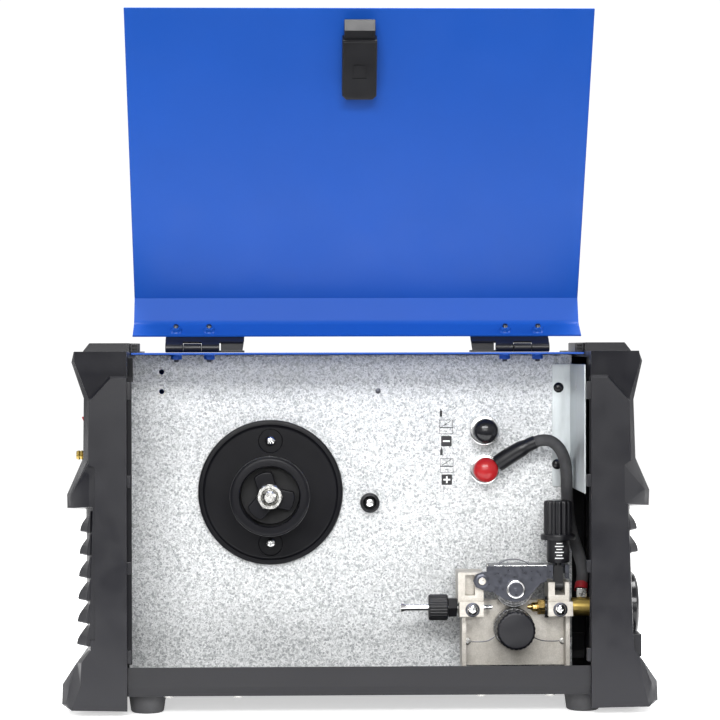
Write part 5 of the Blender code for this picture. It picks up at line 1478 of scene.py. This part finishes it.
def tension():
    refine("tension_lever", 0.0004)
    low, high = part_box("tension_sleeve")
    c = centre("tension_sleeve")
    h = high.z - low.z
    foot = Matrix.Translation((c.x, c.y, low.z))
    profile = [(0.0072, h), (0.0077, h - 0.0005), (0.0083, 0.0145), (0.0084, 0.0140), (0.0084, 0.0008)]
    profile += [(0.0078, 0.0), (0.0030, 0.0), (0.0030, h)]
    piece("tension_tube", lathe(profile, foot, 64, closed=True), "black_plastic", "lever", ["tension_sleeve"])
    ticks = []
    for k in range(6):
        z = low.z + 0.0035 + k * 0.0022
        half = 0.0032 if k % 2 == 0 else 0.0022
        x0 = c.x - half
        strip = []
        for step in range(5):
            x = x0 + 2 * half * step / 4 - c.x
            strip.append((c.x + x, c.y - math.sqrt(0.00846**2 - x * x)))
        outline = strip + [(x, y + 0.0003) for x, y in reversed(strip)]
        ticks.append(flat([outline], 0.0007, Matrix.Translation((0, 0, z)), 0, 0))
    piece("tension_scale", joined(*ticks), "print_white", "lever")
    low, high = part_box("tension_knob")
    h = high.z - low.z
    c = centre("tension_knob")
    profile = [
        (0, h), (0.0086, h), (0.0100, h - 0.0006), (0.0107, h - 0.0020), (0.0107, 0.0048),
        (0.0110, 0.0042), (0.0126, 0.0040), (0.0130, 0.0034), (0.0130, 0.0006), (0.0126, 0.0),
        (0.0088, 0.0), (0.0088, h - 0.0050), (0, h - 0.0050),
    ]

    def ribs(turn, height):
        if height < 0.0046 or height > h - 0.0004:
            return 1
        return 1 - 0.11 * (0.5 + 0.5 * math.cos(14 * turn)) ** 1.5

    knob = lathe(profile, Matrix.Translation((c.x, c.y, low.z)), 168, lobes=ribs)
    piece("tension_grip", knob, "black_plastic", "lever_knob", ["tension_knob"])


# ---------------------------------------------------------------- front and rear fittings


def torch_socket():
    c = centre("torch_collar")
    low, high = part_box("torch_block")
    start = facing(X, (low.x, c.y, c.z))
    length = high.x - low.x
    r = (high.z - low.z) / 2
    profile = [(0, length), (r - 0.0005, length), (r, length - 0.0005), (r, 0.0005)]
    profile += [(r - 0.0005, 0), (0.0010, 0), (0.0010, 0.002), (0, 0.002)]
    core_block = lathe(profile, start, 48)
    piece("torch_inner_block", core_block, "brass_dull", "chassis", ["torch_block"])
    low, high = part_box("torch_collar")
    start = facing(X, (low.x, c.y, c.z))
    h = high.x - low.x
    r = (high.z - low.z) / 2
    profile = [(0.0190, h - 0.0006), (0.0196, h), (0.0222, h), (r - 0.0010, h - 0.0012), (r, h - 0.0024)]
    profile += [(r, 0.0010), (r - 0.0008, 0), (0.0124, 0), (0.0124, 0.0030)]
    profile += [(0.0186, 0.0030), (0.0190, 0.0034)]
    collar = lathe(profile, start, 144, closed=True)
    piece("torch_ring", collar, "black_gloss", "chassis", ["torch_collar"])
    low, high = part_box("torch_socket")
    start = facing(X, (low.x, c.y, c.z))
    h = high.x - low.x
    profile = [(0.0050, h - 0.0006), (0.0056, h), (0.0112, h), (0.0120, h - 0.0008), (0.0120, 0), (0.0010, 0)]
    profile += [(0.0010, 0.0120), (0.0050, 0.0120)]
    core = lathe(profile, start, 72, closed=True)
    holes = []
    for sign in (-1, 1):
        spot = start @ Matrix.Translation((sign * 0.0085, 0, h - 0.006))
        holes.append(lathe([(0, 0.01), (0.0014, 0.01), (0.0014, 0), (0, 0)], spot, 20))
    piece("torch_core", carve(core, *holes), "brass", "chassis", ["torch_socket"])


def earth_socket():
    c = centre("earth_socket")
    low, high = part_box("earth_socket")
    h = high.x - low.x
    start = facing(X, (low.x, c.y, c.z))
    profile = [
        (0.0062, h - 0.0008), (0.0070, h), (0.0130, h), (0.0148, h - 0.0008), (0.0155, h - 0.0024),
        (0.0155, 0.0164), (0.0151, 0.0160), (0.0100, 0.0158), (0.0100, 0.0), (0.0, 0.0), (0.0, 0.0060),
        (0.0062, 0.0060),
    ]
    body = lathe(profile, start, 96, closed=True)
    key = placed(block((-0.0014, 0.0040, 0.0100), (0.0014, 0.0085, 0.03), 0), start)
    piece("earth_port", carve(body, key), "black_gloss", "chassis", ["earth_socket"])
    profile = [(0.0060, h - 0.0020), (0.0060, 0.0062), (0.0052, 0.0062), (0.0052, h - 0.0020)]
    insert = lathe(profile, start, 48, closed=True)
    piece("earth_port_lining", insert, "brass")


def dial(name, node, body):
    low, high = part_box(node)
    c = centre(node)
    h = high.x - low.x
    r = (high.z - low.z) / 2
    start = facing(X, (low.x, c.y, c.z))
    profile = [(0, h - 0.0008), (r * 0.60, h - 0.0006), (r * 0.70, h)]
    profile += [(r * 0.76, h - 0.0003), (r * 0.84, h - 0.0014)]
    profile += [(r * 0.90, 0.0018), (r * 0.98, 0.0010), (r, 0.0004), (r, 0), (0, 0)]

    def flutes(turn, height):
        return 1 - 0.05 * (0.5 + 0.5 * math.cos(20 * turn)) ** 2 if 0.0015 < height < h - 0.0002 else 1

    piece(name, lathe(profile, start, 160, lobes=flutes), "black_plastic", body, [node])
    line = placed(block((-0.0006, r * 0.28, h - 0.0007), (0.0006, r * 0.72, h - 0.00005), 0.0001, 1), start)
    piece(f"{name}_pointer", line, "print_white", body)


def controls():
    low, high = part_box("control_plate")
    c = centre("control_plate")
    width, tall, thick = high.y - low.y, high.z - low.z, high.x - low.x
    place = facing(X, (c.x, c.y, c.z))
    button = centre("mode_button")
    outline = soften(rectangle(-width / 2, -tall / 2, width / 2, tall / 2), 0.004, steps=5)
    hole = circle(button.y - c.y, button.z - c.z, 0.0043)
    plate = flat([outline, hole], thick, place, 0.0003)
    piece("control_fascia", plate, "aluminium", "chassis", ["control_plate"])
    u, v = width / 2 - 0.003, tall / 2 - 0.003
    loops = [soften(rectangle(-u, -v, u, v), 0.003, steps=5)]
    loops.append(circle(button.y - c.y, button.z - c.z, 0.0052))
    film = flat(loops, 0.00008, facing(X, (high.x + 0.00004, c.y, c.z)), 0, 0)
    piece("control_film", film, "print_black")
    dial("speed_dial_cap", "wire_speed_knob", "speed_dial")
    dial("voltage_dial_cap", "voltage_knob", "voltage_dial")
    marks = []
    for node in ("wire_speed_knob", "voltage_knob"):
        k = centre(node)
        for step in range(11):
            turn = math.radians(-135 + 27 * step)
            spot = facing(X, (high.x + 0.00012, k.y, k.z)) @ Matrix.Rotation(-turn, 4, "Z")
            length = 0.0024 if step % 5 == 0 else 0.0015
            outline = rectangle(-0.0003, 0.0140, 0.0003, 0.0140 + length)
            marks.append(flat([outline], 0.00006, spot, 0, 0))
    ring = facing(X, (high.x + 0.00012, button.y, button.z))
    marks.append(flat([circle(0, 0, 0.0066), circle(0, 0, 0.0062)], 0.00006, ring, 0, 0))
    piece("control_marks", joined(*marks), "print_white")
    b_low, b_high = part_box("mode_button")
    h = b_high.x - b_low.x
    profile = [(0, h - 0.0002), (0.0020, h - 0.0001), (0.0034, h - 0.0003), (0.0039, h - 0.0009)]
    place = facing(X, (b_low.x, button.y, button.z))
    cap = lathe(profile + [(0.0039, 0), (0, 0)], place, 48)
    piece("mode_button_cap", cap, "black_gloss", "button", ["mode_button"])
    middle_y = (centre("voltage_knob").y + button.y) / 2
    low_corner = (high.x + 0.0001, middle_y - 0.0085, c.z - 0.0060)
    high_corner = (high.x + 0.0009, middle_y + 0.0045, c.z + 0.0060)
    window = block(low_corner, high_corner, 0.0003)
    piece("meter_window", window, "window")
    for look, dz in (("lamp_green", 0.0060), ("lamp_amber", -0.0060)):
        lens = lathe(
            [(0, 0.0010), (0.0008, 0.0009), (0.0013, 0.0005), (0.0014, 0), (0, 0)],
            facing(X, (high.x + 0.0001, button.y + 0.0130, button.z + dz)),
            24,
        )
        piece(look.replace("lamp", "indicator"), lens, look)


def rear():
    low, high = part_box("gas_inlet")
    c = centre("gas_inlet")
    start = facing(-X, (high.x, c.y, c.z))
    barb = [(0.0024, 0.0290), (0.0030, 0.0290)]
    for k in range(3):
        top = 0.0286 - k * 0.0024
        barb += [(0.0037, top - 0.0016), (0.0031, top - 0.0022)]
    barb += [(0.0033, 0.0210), (0.0033, 0.0186), (0.0044, 0.0184), (0.0044, 0), (0.0018, 0), (0.0018, 0.0284)]
    stem = lathe(barb, start, 40, closed=True)
    nut = hexagon(start @ Matrix.Translation((0, 0, 0.0186)), 0.0092, 0.0026)
    piece("gas_nipple", joined(stem, nut), "brass_dull", "chassis", ["gas_inlet"])
    low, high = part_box("mains_gland")
    c = centre("mains_gland")
    start = facing(-X, (high.x, c.y, c.z))
    profile = [(0.0055, 0.0180), (0.0060, 0.0186), (0.0085, 0.0186), (0.0098, 0.0181), (0.0104, 0.0172)]
    profile += [(0.0104, 0.0156), (0.0100, 0.0152), (0.0080, 0.0150), (0.0080, 0), (0.0055, 0)]

    def grips(turn, height):
        return 1 - 0.04 * (0.5 + 0.5 * math.cos(12 * turn)) ** 3 if height > 0.0153 else 1

    gland = lathe(profile, start, 120, closed=True, lobes=grips)
    piece("cord_gland", gland, "black_plastic", "chassis", ["mains_gland"])
    refine("switch_housing", 0.0004)
    refine("switch_rocker", 0.0006)
    refine("fan_frame", 0.0006)
    refine("fan_rotor", 0.0002, 1)
    grille_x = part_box("fan_frame")[0].x
    bars = []
    fan = centre("fan_frame")
    for radius in (0.012, 0.020, 0.028, 0.036, 0.043):
        points = []
        for k in range(49):
            across, up = radius * math.cos(TURN * k / 48), radius * math.sin(TURN * k / 48)
            points.append(Vector((grille_x - 0.0008, fan.y + across, fan.z + up)))
        bars.append(tube(points, 0.0006, 1))
    piece("fan_guard", joined(*bars), "zinc")


def insides():
    for node in ("heat_sink", "transformer", "circuit_board", "gas_valve", "feed_motor"):
        refine(node, 0.0003, 1)


# ---------------------------------------------------------------- stage


def stage():
    bm = bmesh.new()
    bmesh.ops.create_circle(bm, cap_ends=True, segments=96, radius=1.3)
    bmesh.ops.translate(bm, vec=(0, 0.90, 0), verts=bm.verts)
    mesh = bpy.data.meshes.new("floor")
    bm.to_mesh(mesh)
    bm.free()
    floor = bpy.data.objects.new("floor", mesh)
    floor.location.z = cad_box[0].z - 0.0001
    bpy.context.scene.collection.objects.link(floor)
    pale = Nodes("pale_floor")
    pale.set(Base_Color=pale.ramp(pale.noise(3), [(0.3, 0.88), (0.7, 0.90)]), Roughness=0.9)
    pale.set(Specular_IOR_Level=0.1, Emission_Strength=0.55)
    pale.shader.inputs["Emission Color"].default_value = (1, 1, 1, 1)
    mesh.materials.append(pale.material)
    studio()


def studio():
    """White behind the object. Round about: dim below and behind the camera, bright above and beside."""
    world = bpy.data.worlds.new("studio")
    bpy.context.scene.world = world
    world.use_nodes = True
    tree = world.node_tree
    around = tree.nodes["Background"]
    around.inputs["Strength"].default_value = 0.70
    white = tree.nodes.new("ShaderNodeBackground")
    white.inputs["Color"].default_value = (1, 1, 1, 1)
    white.inputs["Strength"].default_value = 1.05
    seen = tree.nodes.new("ShaderNodeLightPath")
    choose = tree.nodes.new("ShaderNodeMixShader")
    tree.links.new(seen.outputs["Is Camera Ray"], choose.inputs[0])
    tree.links.new(around.outputs[0], choose.inputs[1])
    tree.links.new(white.outputs[0], choose.inputs[2])
    tree.links.new(choose.outputs[0], tree.nodes["World Output"].inputs["Surface"])
    place = tree.nodes.new("ShaderNodeTexCoord")
    parts = tree.nodes.new("ShaderNodeSeparateXYZ")
    tree.links.new(place.outputs["Generated"], parts.inputs[0])

    def by_direction(axis, stops):
        half = tree.nodes.new("ShaderNodeMath")
        half.operation = "MULTIPLY_ADD"
        half.inputs[1].default_value = 0.5
        half.inputs[2].default_value = 0.5
        tree.links.new(parts.outputs[axis], half.inputs[0])
        ramp = tree.nodes.new("ShaderNodeValToRGB")
        while len(ramp.color_ramp.elements) < len(stops):
            ramp.color_ramp.elements.new(0.5)
        for element, (position, grey) in zip(ramp.color_ramp.elements, stops):
            element.position = position / 2 + 0.5
            element.color = (grey, grey, grey, 1)
        tree.links.new(half.outputs[0], ramp.inputs["Fac"])
        return ramp.outputs["Color"]

    heights = by_direction("Z", [(-0.4, 0.16), (-0.16, 0.20), (-0.04, 1.0), (0.25, 1.0), (1.0, 1.0)])
    depths = by_direction("Y", [(-1.0, 1.0), (-0.90, 1.0), (-0.6, 0.7), (0.3, 0.75), (1.0, 1.0)])
    both = tree.nodes.new("ShaderNodeMix")
    both.data_type = "RGBA"
    both.blend_type = "MULTIPLY"
    both.inputs[0].default_value = 1.0
    tree.links.new(heights, both.inputs[6])
    tree.links.new(depths, both.inputs[7])
    tree.links.new(both.outputs[2], around.inputs["Color"])


def lamp(name, place, aim, size, power):
    light = bpy.data.lights.new(name, "AREA")
    light.shape = "RECTANGLE"
    light.size, light.size_y = size
    light.energy = power
    obj = bpy.data.objects.new(name, light)
    obj.location = place
    obj.rotation_mode = "QUATERNION"
    obj.rotation_quaternion = (Vector(aim) - Vector(place)).to_track_quat("-Z", "Y")
    bpy.context.scene.collection.objects.link(obj)


def lights():
    middle = (0, 0, 0.20)
    lamp("key", (-0.2, -2.4, 1.35), middle, (1.8, 0.6), 60)
    lamp("low", (-0.2, -2.4, 0.55), middle, (1.4, 0.3), 11)
    lamp("left", (-2.2, -0.3, 0.7), middle, (0.5, 1.4), 22)
    lamp("right", (2.2, -0.3, 0.7), middle, (0.5, 1.4), 30)
    lamp("back", (0.2, 2.2, 1.6), middle, (2.0, 1.0), 14)
    lamp("top", (0, -0.2, 2.0), middle, (1.2, 0.7), 60)


def camera():
    """A long lens square to the wire bay, a little above the middle."""
    yaw, pitch, roll = 0.026754, -0.0042596, -0.0019076
    ahead = Vector((math.sin(yaw) * math.cos(pitch), math.cos(yaw) * math.cos(pitch), math.sin(pitch)))
    right = Vector((math.cos(yaw), -math.sin(yaw), 0))
    up = right.cross(ahead)
    side = right * math.cos(roll) + up * math.sin(roll)
    top = up * math.cos(roll) - right * math.sin(roll)
    data = bpy.data.cameras.new("camera")
    data.lens = 118.09
    data.sensor_width = 36
    data.clip_start = 0.01
    obj = bpy.data.objects.new("camera", data)
    obj.matrix_world = (
        Matrix.Translation(at(-0.04494, -1.69505, 0.26285))
        @ Matrix((side, top, -ahead)).transposed().to_4x4()
    )
    bpy.context.scene.collection.objects.link(obj)
    bpy.context.scene.camera = obj


def repaint_nodes():
    for name, obj in NODES.items():
        obj.data.materials.clear()
        obj.data.materials.append(LOOKS[SLOT_OF[name]])


def main():
    scene = bpy.context.scene
    scene.view_settings.view_transform = "Standard"
    repaint_nodes()
    camera()
    stage()
    lights()
    door()
    cover()
    hinges()
    latch()
    casing()
    hub()
    wall_fittings()
    terminals()
    lead()
    labels()
    feeder()
    tension()
    torch_socket()
    earth_socket()
    controls()
    rear()
    insides()
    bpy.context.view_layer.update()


main()
